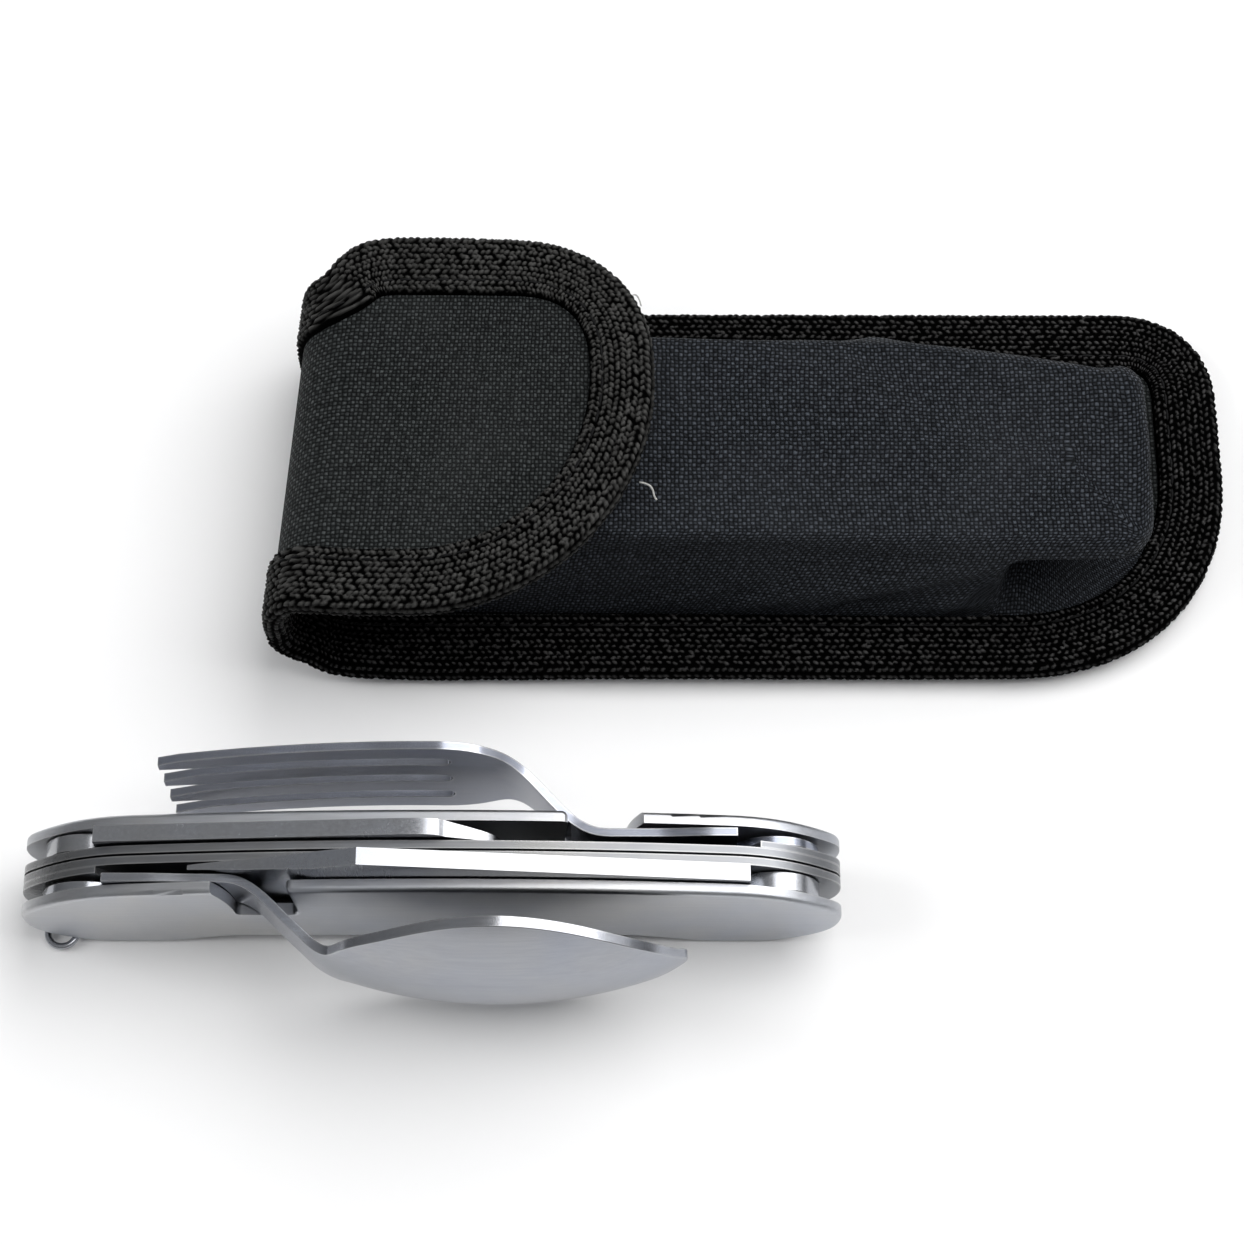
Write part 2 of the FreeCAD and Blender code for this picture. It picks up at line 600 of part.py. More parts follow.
def make_fork():
    sheet = curved_sheet(fork_height, SHEET_COLUMNS, 5)
    neck_top = NECK_Z + NECK_HALF_WIDTH
    shoulder_top = NECK_Z + FORK_HALF_WIDTH
    upper = [xz(NECK_START_X, neck_top), xz(-20.0, neck_top), xz(-13.0, neck_top + 0.9)]
    upper += [xz(-7.5, shoulder_top - 1.9), xz(-1.0, shoulder_top)]
    lower = [xz(p.x, 2 * NECK_Z - p.z) for p in upper]
    tip_top = xz(FORK_TIP_X, shoulder_top - 0.4)
    tip_low = xz(FORK_TIP_X, 2 * NECK_Z - tip_top.z)
    edges = eater_tang_edges(FORK_CORNER_X)
    edges += [
        spline(upper, Vector(1, 0, 0), Vector(1, 0, 0)),
        line(upper[-1], tip_top),
        line(tip_top, tip_low),
        line(tip_low, lower[-1]),
        spline(list(reversed(lower)), Vector(-1, 0, 0), Vector(-1, 0, 0)),
    ]
    outline = plate(face_of(Part.__sortEdges__(edges)), -25, 0)
    body = sheet.common(outline)
    width = 2 * FORK_HALF_WIDTH
    pitch = (width + TINE_SLOT) / TINE_COUNT
    for i in range(1, TINE_COUNT):
        z = NECK_Z - FORK_HALF_WIDTH + i * pitch - TINE_SLOT / 2
        half = TINE_SLOT / 2
        root = Part.makeCylinder(half, 30, Vector(TINE_ROOT_X, -25, z), Vector(0, 1, 0))
        gap = box(Vector(TINE_ROOT_X, -25, z - half), Vector(FORK_TIP_X + 5, 5, z + half))
        body = body.cut(root.fuse(gap))
    tine = pitch - TINE_SLOT
    point_x = FORK_TIP_X - TINE_POINT_LENGTH
    for i in range(TINE_COUNT):
        z = NECK_Z - FORK_HALF_WIDTH + i * pitch + tine / 2
        for side in (-1, 1):
            point = Part.Face(Part.makePolygon([
                xz(point_x, z + side * tine / 2),
                xz(FORK_TIP_X + 1, z + side * tine / 5),
                xz(FORK_TIP_X + 1, z + side * (tine / 2 + 0.9)),
                xz(point_x, z + side * (tine / 2 + 0.9)),
                xz(point_x, z + side * tine / 2),
            ]))
            body = body.cut(plate(point, -25, 0))
    return body.cut(tang_hole(-PIVOT_X))


# ---- Studs and lanyard loop ----
def make_studs():
    """Headed studs riveted in the near liner; their heads slide in the other liner."""
    head_end = -LINER_Y + LINER_THICKNESS - 0.1
    studs = []
    for x in STUD_X:
        shank = pin(STUD_RADIUS, x, STUD_Z, CHANNEL_Y, head_end)
        head = pin(STUD_HEAD_RADIUS, x, STUD_Z, head_end - STUD_HEAD, head_end)
        studs.append(shank.fuse(head).removeSplitter())
    return Part.makeCompound(studs)


def make_lanyard_loop():
    left = LOOP_X - LOOP_RADIUS
    right = LOOP_X + LOOP_RADIUS
    path = Part.Wire([
        line(Vector(left, LINER_Y, LOOP_Z), Vector(left, LOOP_BEND_Y, LOOP_Z)),
        arc(Vector(left, LOOP_BEND_Y, LOOP_Z),
            Vector(LOOP_X, LOOP_BEND_Y - LOOP_RADIUS, LOOP_Z),
            Vector(right, LOOP_BEND_Y, LOOP_Z)),
        line(Vector(right, LOOP_BEND_Y, LOOP_Z), Vector(right, LINER_Y, LOOP_Z)),
    ])
    circle = Part.makeCircle(LOOP_WIRE, Vector(left, LINER_Y, LOOP_Z), Vector(0, -1, 0))
    return path.makePipeShell([Part.Wire(circle)], True, False)


# ---- Pouch ----
def pouch_outline(left_x, right_x, half_width, neck, near_corner, far_corner, inset):
    """Plan outline: narrow at the fold on the left, rounded corners on the right."""
    right = right_x - inset
    near = -half_width + inset
    far = half_width - inset
    neck_near = inset - neck[0]
    neck_far = neck[1] - inset
    near_r = near_corner - inset
    far_r = far_corner - inset
    full_x = left_x + FOLD_CORNER
    turn = math.sqrt(0.5)

    def corner_middle(cx, cy, r, side):
        return Vector(cx + r * turn, cy + side * r * turn, 0)

    near_c = (right - near_r, near + near_r)
    far_c = (right - far_r, far - far_r)
    return face_of([
        line(Vector(left_x, neck_far, 0), Vector(left_x, neck_near, 0)),
        spline([Vector(left_x, neck_near, 0), Vector(full_x, near, 0)], Vector(1, -0.4, 0), Vector(1, 0, 0)),
        line(Vector(full_x, near, 0), Vector(near_c[0], near, 0)),
        arc(Vector(near_c[0], near, 0), corner_middle(*near_c, near_r, -1), Vector(right, near_c[1], 0)),
        line(Vector(right, near_c[1], 0), Vector(right, far_c[1], 0)),
        arc(Vector(right, far_c[1], 0), corner_middle(*far_c, far_r, 1), Vector(far_c[0], far, 0)),
        line(Vector(far_c[0], far, 0), Vector(full_x, far, 0)),
        spline([Vector(full_x, far, 0), Vector(left_x, neck_far, 0)], Vector(-1, 0, 0), Vector(-0.3, -1, 0)),
    ])


def tape_around(outer, panel, left_x, right_x, half_width, near_corner, far_corner, low_z, high_z):
    """Edge tape folded over a panel's edge on three sides."""
    ring = slab(outer, low_z - TAPE_BUILD, high_z + TAPE_BUILD)
    inner = pouch_outline(left_x - 20, right_x, half_width, (half_width, half_width),
                          near_corner, far_corner, TAPE_WIDTH)
    ring = ring.cut(slab(inner, low_z - 2, high_z + 2))
    return ring.cut(panel)


def base_face(inset):
    return pouch_outline(POUCH_LEFT, POUCH_RIGHT, POUCH_HALF_WIDTH, (FOLD_NEAR, FOLD_FAR),
                         CORNER_NEAR, CORNER_FAR, inset)


def flap_face(inset):
    return pouch_outline(FLAP_LEFT, FLAP_END_X, POUCH_HALF_WIDTH, (FOLD_NEAR, FOLD_FAR),
                         FLAP_CORNER_NEAR, FLAP_CORNER_FAR, inset)


def pocket_section(mouth_x, x_end, half_width, near_corner, far_corner, z):
    """Plan section of the pocket at one height, its mouth to the left."""
    near = near_corner * (1 - math.sqrt(0.5))
    far = far_corner * (1 - math.sqrt(0.5))
    return Part.Wire([
        line(Vector(mouth_x, half_width, z), Vector(mouth_x, -half_width, z)),
        line(Vector(mouth_x, -half_width, z), Vector(x_end - near_corner, -half_width, z)),
        arc(Vector(x_end - near_corner, -half_width, z), Vector(x_end - near, -half_width + near, z),
            Vector(x_end, -half_width + near_corner, z)),
        line(Vector(x_end, -half_width + near_corner, z), Vector(x_end, half_width - far_corner, z)),
        arc(Vector(x_end, half_width - far_corner, z), Vector(x_end - far, half_width - far, z),
            Vector(x_end - far_corner, half_width, z)),
        line(Vector(x_end - far_corner, half_width, z), Vector(mouth_x, half_width, z)),
    ])


def pocket_body(grow, mouth_x, low_z, high_z):
    low = pocket_section(mouth_x, POCKET_END_X + grow, POCKET_HALF_WIDTH + grow,
                         POCKET_CORNER_NEAR + grow, POCKET_CORNER_FAR + grow, low_z)
    high = pocket_section(mouth_x, POCKET_END_TOP_X + grow, POCKET_TOP_HALF_WIDTH + grow,
                          POCKET_CORNER_TOP + grow, POCKET_CORNER_TOP + grow, high_z)
    return Part.makeLoft([low, high], True, True)


def make_pocket():
    outer = pocket_body(0, POCKET_MOUTH_X, BASE_TOP_Z, POCKET_TOP_Z)
    top_edges = [e for e in outer.Edges if e.BoundBox.ZMin > POCKET_TOP_Z - TINY]
    top_edges = [e for e in top_edges if e.BoundBox.XMax > POCKET_MOUTH_X + 1]
    outer = outer.makeFillet(POCKET_EDGE_ROUND, top_edges)
    inner = pocket_body(-POCKET_WALL, POCKET_MOUTH_X - 5, BASE_TOP_Z, POCKET_TOP_Z - POCKET_WALL)
    return outer.cut(inner)


def make_pocket_hem():
    """Folded tape round the pocket's mouth."""
    hem_x = POCKET_MOUTH_X - HEM_WIDTH
    outer = pocket_body(HEM_BUILD, hem_x, BASE_TOP_Z, POCKET_TOP_Z + HEM_BUILD)
    keep = box(Vector(hem_x, -POUCH_HALF_WIDTH, BASE_TOP_Z),
               Vector(POCKET_MOUTH_X, POUCH_HALF_WIDTH, FLAP_TOP_Z))
    outer = outer.common(keep)
    inner = pocket_body(-POCKET_WALL, POCKET_MOUTH_X - 5, BASE_TOP_Z, POCKET_TOP_Z - POCKET_WALL)
    return outer.cut(inner)


def make_patch(low_z, high_z):
    return box(Vector(PATCH_X[0], -PATCH_HALF_WIDTH, low_z), Vector(PATCH_X[1], PATCH_HALF_WIDTH, high_z))


def make_flap_fold():
    """The stretch of the flap's cloth that rises from the back panel at the mouth."""
    half = FOLD_THICKNESS / 2
    return box(Vector(FOLD_X - half, -FOLD_NEAR + TAPE_WRAP, FOLD_LOW_AXIS_Z + FOLD_CLEAR),
               Vector(FOLD_X + half, FOLD_FAR - TAPE_WRAP, FOLD_HIGH_AXIS_Z - FOLD_CLEAR))


def make_fold_tape(fold):
    """Edge tape on the two upright edges of the fold."""
    half = FOLD_THICKNESS / 2 + TAPE_BUILD
    strips = []
    for y_low in (-FOLD_NEAR, FOLD_FAR - TAPE_WIDTH):
        strip = box(Vector(FOLD_X - half, y_low, FOLD_LOW_AXIS_Z + FOLD_TAPE_CLEAR),
                    Vector(FOLD_X + half, y_low + TAPE_WIDTH, FOLD_HIGH_AXIS_Z - FOLD_TAPE_CLEAR))
        strips.append(strip.cut(fold))
    return Part.makeCompound(strips)


def make_belt_loop():
    """Flat webbing sewn across both ends to the back panel; a belt passes under it along Y."""
    strap = box(Vector(-BELT_LOOP_HALF_LENGTH, -BELT_LOOP_HALF_WIDTH, 0),
                Vector(BELT_LOOP_HALF_LENGTH, BELT_LOOP_HALF_WIDTH, BELT_LOOP_THICKNESS))
    for side in (-1, 1):
        inner = side * (BELT_LOOP_HALF_LENGTH - BELT_LOOP_SEWN)
        outer = side * BELT_LOOP_HALF_LENGTH
        pad = box(Vector(min(inner, outer), -BELT_LOOP_HALF_WIDTH, 0),
                  Vector(max(inner, outer), BELT_LOOP_HALF_WIDTH, BASE_BOTTOM_Z))
        strap = strap.fuse(pad)
    return strap.removeSplitter()


# ---- Build every node ----
def near_side(shape):
    placed = shape.copy()
    placed.translate(TOOL_PLACE)
    return placed


def far_side(shape):
    """The far half is the near half turned half a turn about the upright axis."""
    placed = shape.copy()
    placed.rotate(Vector(0, 0, 0), Vector(0, 0, 1), 180)
    placed.translate(TOOL_PLACE)
    return placed


scale = make_scale()
liner = make_liner()
spacer = make_spacer()
spring_rivets = make_spring_rivets()
back_panel = slab(base_face(TAPE_WRAP), BASE_BOTTOM_Z, BASE_TOP_Z)
flap_panel = slab(flap_face(TAPE_WRAP), FLAP_BOTTOM_Z, FLAP_TOP_Z)
flap_fold = make_flap_fold()

nodes = {
    "near_scale": near_side(scale),
    "near_liner": near_side(add_loop_ear(add_stud_holes(liner))),
    "near_spacer": near_side(spacer),
    "near_spring": near_side(make_spring(SPOON_CORNER_X, KNIFE_CORNER_X)),
    "near_spring_rivets": near_side(spring_rivets),
    "spoon": near_side(make_spoon()),
    "spoon_rivet": near_side(make_pivot_rivet(-PIVOT_X)),
    "knife": near_side(make_knife()),
    "knife_rivet": near_side(make_pivot_rivet(PIVOT_X)),
    "coupling_studs": near_side(make_studs()),
    "lanyard_loop": near_side(make_lanyard_loop()),
    "far_scale": far_side(scale),
    "far_liner": far_side(add_keyholes(liner)),
    "far_spacer": far_side(spacer),
    "far_spring": far_side(make_spring(FORK_CORNER_X, OPENER_CORNER_X)),
    "far_spring_rivets": far_side(spring_rivets),
    "fork": far_side(make_fork()),
    "fork_rivet": far_side(make_pivot_rivet(-PIVOT_X)),
    "opener": far_side(make_opener()),
    "opener_rivet": far_side(make_pivot_rivet(PIVOT_X)),
    "back_panel": back_panel,
    "back_panel_tape": tape_around(base_face(0), back_panel, POUCH_LEFT, POUCH_RIGHT, POUCH_HALF_WIDTH,
                                   CORNER_NEAR, CORNER_FAR, BASE_BOTTOM_Z, BASE_TOP_Z),
    "pocket": make_pocket(),
    "pocket_hem": make_pocket_hem(),
    "loop_patch": make_patch(POCKET_TOP_Z, LOOP_PATCH_TOP_Z),
    "hook_patch": make_patch(HOOK_PATCH_Z, FLAP_BOTTOM_Z),
    "flap_panel": flap_panel,
    "flap_tape": tape_around(flap_face(0), flap_panel, FLAP_LEFT, FLAP_END_X, POUCH_HALF_WIDTH,
                             FLAP_CORNER_NEAR, FLAP_CORNER_FAR, FLAP_BOTTOM_Z, FLAP_TOP_Z),
    "flap_fold": flap_fold,
    "flap_fold_tape": make_fold_tape(flap_fold),
    "belt_loop": make_belt_loop(),
}

os.makedirs("parts", exist_ok=True)
for name, shape in nodes.items():
    solids = shape.Solids
    print(name, len(solids), "solids", round(shape.Volume, 2), "mm3", "valid", shape.isValid())
    out = solids[0] if len(solids) == 1 else Part.makeCompound(solids)
    out.exportStep("parts/" + name + ".step")
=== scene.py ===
import math

import bmesh
import bpy
import numpy as np
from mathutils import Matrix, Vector
from mathutils.bvhtree import BVHTree


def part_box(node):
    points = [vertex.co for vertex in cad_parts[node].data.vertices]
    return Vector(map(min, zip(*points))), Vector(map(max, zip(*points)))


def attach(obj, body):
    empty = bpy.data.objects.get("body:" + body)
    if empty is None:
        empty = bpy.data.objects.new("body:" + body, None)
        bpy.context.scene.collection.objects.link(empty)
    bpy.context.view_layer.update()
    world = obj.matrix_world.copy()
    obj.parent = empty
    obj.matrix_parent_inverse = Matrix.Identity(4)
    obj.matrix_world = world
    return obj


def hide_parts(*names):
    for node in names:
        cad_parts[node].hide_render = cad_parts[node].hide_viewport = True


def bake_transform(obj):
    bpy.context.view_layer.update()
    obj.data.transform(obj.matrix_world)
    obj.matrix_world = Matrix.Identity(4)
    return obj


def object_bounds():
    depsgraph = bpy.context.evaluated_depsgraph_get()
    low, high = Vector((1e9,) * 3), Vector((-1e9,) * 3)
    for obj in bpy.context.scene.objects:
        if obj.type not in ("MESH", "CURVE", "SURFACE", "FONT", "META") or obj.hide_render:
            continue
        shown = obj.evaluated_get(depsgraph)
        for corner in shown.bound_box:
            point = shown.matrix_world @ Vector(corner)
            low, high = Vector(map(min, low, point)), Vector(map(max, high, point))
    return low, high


# Looks of the folding picnic cutlery and its belt pouch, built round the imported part.
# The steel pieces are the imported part's own; everything sewn is built here.
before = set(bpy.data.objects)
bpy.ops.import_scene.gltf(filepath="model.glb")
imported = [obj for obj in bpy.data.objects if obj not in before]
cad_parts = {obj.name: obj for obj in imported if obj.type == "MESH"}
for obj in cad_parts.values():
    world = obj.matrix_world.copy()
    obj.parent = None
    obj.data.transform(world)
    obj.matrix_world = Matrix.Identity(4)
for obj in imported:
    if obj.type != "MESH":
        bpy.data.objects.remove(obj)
cad_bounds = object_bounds()

MM = 0.001

# ---- The pouch's one long strip of cloth: back panel, fold and flap ----
# The strip is folded like a C. Its two halves meet at the middle of the fold's upright wall, and
# d is the distance along a half from there: down the wall and along the back panel, or up the
# wall and along the flap. Edge corners are given as (size, power), a higher power being squarer.
panel_low, panel_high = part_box("back_panel")
flap_low, flap_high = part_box("flap_panel")
fold_low, fold_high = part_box("flap_fold")
base_tape_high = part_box("back_panel_tape")[1]
flap_tape_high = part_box("flap_tape")[1]
pocket_low, pocket_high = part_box("pocket")

BASE_Z = (panel_low.z + panel_high.z) / 2
FLAP_Z = (flap_low.z + flap_high.z) / 2
WALL_X = (fold_low.x + fold_high.x) / 2
WALL_MIDDLE_Z = (BASE_Z + FLAP_Z) / 2
FOLD_RADIUS = 8.0 * MM
STRAIGHT = (FLAP_Z - BASE_Z) / 2 - FOLD_RADIUS
ARC = FOLD_RADIUS * math.pi / 2
FOLD_NEAR = 0.6 * MM - fold_low.y
FOLD_FAR = fold_high.y + 2.1 * MM
PANEL_HALF_WIDTH = base_tape_high.y
BASE_END = STRAIGHT + ARC + base_tape_high.x - WALL_X - FOLD_RADIUS
FLAP_END = STRAIGHT + ARC + flap_tape_high.x - WALL_X - FOLD_RADIUS
BASE_CORNERS = ((31 * MM, 2.2), (14 * MM, 2.3))
FLAP_CORNERS = ((34 * MM, 2.0), (21 * MM, 2.35))
SKEW_NEAR = 1.5 * MM
SKEW_FAR = 5.0 * MM
SKEW_LENGTH = 42 * MM
WIDEN_START = STRAIGHT + 0.55 * ARC
WIDEN_LENGTH = 12 * MM
CLOTH_HALF = 0.55 * MM
FLAP_CORNER_DROOP = 1.0 * MM
FLAP_DROOP = 0.35 * MM
FLAP_RIPPLE = 0.18 * MM
BASE_CURL = 1.7 * MM
BASE_RIPPLE = 0.3 * MM
BASE = -1
FLAP = 1
BASE_STRIP = (BASE, BASE_END, BASE_CORNERS)
FLAP_STRIP = (FLAP, FLAP_END, FLAP_CORNERS)

# ---- Edge tape ----
TAPE_WIDTH = 8.5 * MM
TAPE_HALF = 1.15 * MM
TAPE_ROW = 0.82 * MM
TAPE_GRAIN = 1.0 * MM
TAPE_RELIEF = 0.5 * MM
TAPE_STEP = 0.235 * MM


def ease(t):
    """Smooth step from 0 to 1."""
    t = np.clip(t, 0.0, 1.0)
    return t * t * (3 - 2 * t)


def unit(vectors):
    return vectors / np.linalg.norm(vectors, axis=1)[:, None]


def length_along(path):
    """Distance from a path's start to each of its points."""
    return np.concatenate([[0], np.cumsum(np.linalg.norm(np.diff(path, axis=0), axis=1))])


def at_lengths(places, length, path):
    """Points of a path, or values given along it, at these distances from its start."""
    return np.stack([np.interp(places, length, path[:, i]) for i in range(path.shape[1])], -1)


def smoothed(path, window):
    """A path averaged over a window of neighbouring points, with its ends held."""
    half = len(window) // 2
    padded = np.concatenate([np.repeat(path[:1], half, 0), path, np.repeat(path[-1:], half, 0)])
    return np.stack([np.convolve(padded[:, i], window, "valid") for i in range(path.shape[1])], -1)


def ripple(x, y, scale, seed):
    """A slow smooth waviness between -1 and 1."""
    a = np.sin(x / scale * 1.3 + seed) * np.cos(y / scale * 1.7 + 2.1 * seed)
    b = np.sin(x / scale * 0.6 - y / scale * 1.1 + 3.7 * seed)
    return 0.6 * a + 0.4 * b


def sag(d, y, side):
    """How far the strip leaves its plain folded shape, towards its inner face."""
    if side == FLAP:
        free = ease((d - 0.35 * FLAP_END) / (0.65 * FLAP_END))
        across = np.abs(y) / PANEL_HALF_WIDTH
        droop = FLAP_CORNER_DROOP * free * across**3 + FLAP_DROOP * free
        return droop + FLAP_RIPPLE * free * ripple(d, y, 9 * MM, 1.0)
    near_fold = ease(1 - (d - STRAIGHT) / (26 * MM)) * ease((d - STRAIGHT) / (9 * MM))
    outer = ease((np.abs(y) - 17 * MM) / (10 * MM))
    curl = BASE_CURL * near_fold * outer * np.where(y < 0, 1.0, 0.6)
    clear_of_pocket = ease((np.abs(y) - 19 * MM) / (7 * MM))
    return curl + BASE_RIPPLE * clear_of_pocket * ripple(d, y, 13 * MM, 2.0)


def strip_place(d, y, h, side):
    """Place of a point of the strip: d along it from the middle of the fold, h above its inner face."""
    h = h + sag(d, y, side)
    turn = np.clip((d - STRAIGHT) / FOLD_RADIUS, 0, math.pi / 2)
    flat = np.maximum(d - STRAIGHT - ARC, 0)
    across = np.clip((y + FOLD_NEAR) / (FOLD_NEAR + FOLD_FAR), 0, 1)
    skew = (SKEW_NEAR + (SKEW_FAR - SKEW_NEAR) * across) * (1 - ease((d - STRAIGHT - ARC) / SKEW_LENGTH))
    x = WALL_X + skew + FOLD_RADIUS * (1 - np.cos(turn)) + flat + np.cos(turn) * h
    z = WALL_MIDDLE_Z + side * (np.minimum(d, STRAIGHT) + FOLD_RADIUS * np.sin(turn))
    z = z - side * np.sin(turn) * h
    return np.stack([x, y + 0 * x, z], -1)


def edge_half_width(d, end, corner, power, at_fold):
    """Half width of the strip at d, on the side with this end corner and this width at the fold."""
    widen = 1 - (1 - np.clip((d - WIDEN_START) / WIDEN_LENGTH, 0, 1)) ** 3.2
    half = at_fold + (PANEL_HALF_WIDTH - at_fold) * widen
    t = np.clip((d - (end - corner)) / corner, 0, 1)
    return half - corner * (1 - (1 - t**power) ** (1 / power))


def edge_path(end, corners, spacing):
    """Points (d, y) round a panel's free edge, evenly spaced, from the fold round and back."""
    near, far = corners
    points = []
    smoothing_length = 1.6 * MM
    fold_length = 2 * MM
    for (corner, power), sign, at_fold in ((near, -1, FOLD_NEAR), (far, 1, FOLD_FAR)):
        plain = np.linspace(0, end - corner, 200)
        turn = np.linspace(0, math.pi / 2, 200)[1:]
        d = np.concatenate([plain, end - corner + corner * np.sin(turn) ** (2 / power)])
        y = sign * edge_half_width(d, end, corner, power, at_fold)
        side = np.stack([d, y], -1)
        points.append(side if sign < 0 else side[::-1])
    path = np.concatenate(points)
    length = length_along(path)
    even = np.linspace(0, length[-1], int(length[-1] / spacing) + 1)
    path = at_lengths(even, length, path)
    window = np.hanning(2 * int(smoothing_length / spacing) + 3)
    softened = smoothed(path, window / window.sum())
    softened[:, 0] = np.where(path[:, 0] < fold_length, path[:, 0], softened[:, 0])
    return softened, even


def inward(path):
    """Unit vectors in the strip's plane, pointing from the edge towards its middle."""
    run = unit(np.gradient(path, axis=0))
    into = unit(np.stack([-run[:, 1], run[:, 0]], -1))
    near_side_into = into[len(path) // 4, 1]
    return -into if near_side_into < 0 else into


# ---- Mesh helpers ----
def grid_faces(rows, columns, close_columns=False):
    """Quads of a grid of vertices numbered row by row."""
    r = np.arange(rows - 1)
    c = np.arange(columns if close_columns else columns - 1)
    r, c = np.meshgrid(r, c, indexing="ij")
    across = (c + 1) % columns
    corners = [r * columns + c, r * columns + across, (r + 1) * columns + across, (r + 1) * columns + c]
    return np.stack(corners, -1).reshape(-1, 4)


def mesh_piece(name, points, faces, uv=None):
    """A smooth-shaded mesh; uv places each vertex in the cloth's own flat pattern."""
    mesh = bpy.data.meshes.new(name)
    mesh.from_pydata(np.asarray(points).reshape(-1, 3).tolist(), [], [list(map(int, f)) for f in faces])
    if uv is not None:
        layer = mesh.uv_layers.new(name="cloth")
        index = np.zeros(len(mesh.loops), np.int32)
        mesh.loops.foreach_get("vertex_index", index)
        layer.data.foreach_set("uv", np.asarray(uv).reshape(-1, 2)[index].astype(np.float32).ravel())
    mesh.polygons.foreach_set("use_smooth", np.full(len(mesh.polygons), True))
    mesh.update()
    piece = bpy.data.objects.new(name, mesh)
    bpy.context.scene.collection.objects.link(piece)
    return piece


def swept_piece(name, points, uv):
    """A closed section carried along a path: points are (path, section, 3)."""
    rows, columns = points.shape[:2]
    faces = grid_faces(rows, columns, close_columns=True).tolist()
    faces.append(list(range(columns))[::-1])
    faces.append(list(range((rows - 1) * columns, rows * columns)))
    return mesh_piece(name, points, faces, uv)


def float_attribute(piece, name, values):
    """Stores one number at each vertex, which materials and later steps read by name."""
    layer = piece.data.attributes.new(name, "FLOAT", "POINT")
    layer.data.foreach_set("value", np.asarray(values, np.float32).ravel())


def add_modifier(piece, kind, **settings):
    made = piece.modifiers.new(kind.lower(), kind)
    for key, value in settings.items():
        setattr(made, key, value)
    return made


def turn_faces_outward(piece):
    """Turns all faces outward."""
    work = bmesh.new()
    work.from_mesh(piece.data)
    bmesh.ops.recalc_face_normals(work, faces=work.faces)
    work.to_mesh(piece.data)
    work.free()


# ---- Material helpers ----
def new_material(name):
    material = bpy.data.materials.new(name)
    material.use_nodes = True
    tree = material.node_tree
    return material, tree, tree.nodes["Principled BSDF"]


def node(tree, kind, inputs=None, **settings):
    made = tree.nodes.new(kind)
    for key, value in settings.items():
        setattr(made, key, value)
    for key, value in (inputs or {}).items():
        if isinstance(value, bpy.types.NodeSocket):
            tree.links.new(value, made.inputs[key])
        else:
            made.inputs[key].default_value = value
    return made


def calc(tree, operation, a, b=0.0, c=0.0):
    return node(tree, "ShaderNodeMath", {0: a, 1: b, 2: c}, operation=operation).outputs[0]


def noise(tree, vector, scale, detail=2.0, roughness=0.5):
    inputs = {"Vector": vector, "Scale": scale, "Detail": detail, "Roughness": roughness}
    return node(tree, "ShaderNodeTexNoise", inputs).outputs["Fac"]


def stretch(tree, vector, scale):
    return node(tree, "ShaderNodeMapping", {"Vector": vector, "Scale": scale}).outputs[0]


def span(tree, value, low, high, to_low, to_high):
    """Maps low..high to to_low..to_high, clamped."""
    inputs = {"Value": value, "From Min": low, "From Max": high, "To Min": to_low, "To Max": to_high}
    return node(tree, "ShaderNodeMapRange", inputs).outputs[0]


def blend_colour(tree, share, a, b):
    made = node(tree, "ShaderNodeMix", {"Factor": share}, data_type="RGBA")
    for socket, value in ((made.inputs[6], a), (made.inputs[7], b)):
        if isinstance(value, bpy.types.NodeSocket):
            tree.links.new(value, socket)
        else:
            socket.default_value = (*value, 1)
    return made.outputs[2]


def join(tree, a, socket):
    tree.links.new(a, socket)


def bump(tree, height, distance, strength=1.0, under=None):
    inputs = {"Height": height, "Distance": distance, "Strength": strength}
    if under is not None:
        inputs["Normal"] = under
    return node(tree, "ShaderNodeBump", inputs).outputs[0]


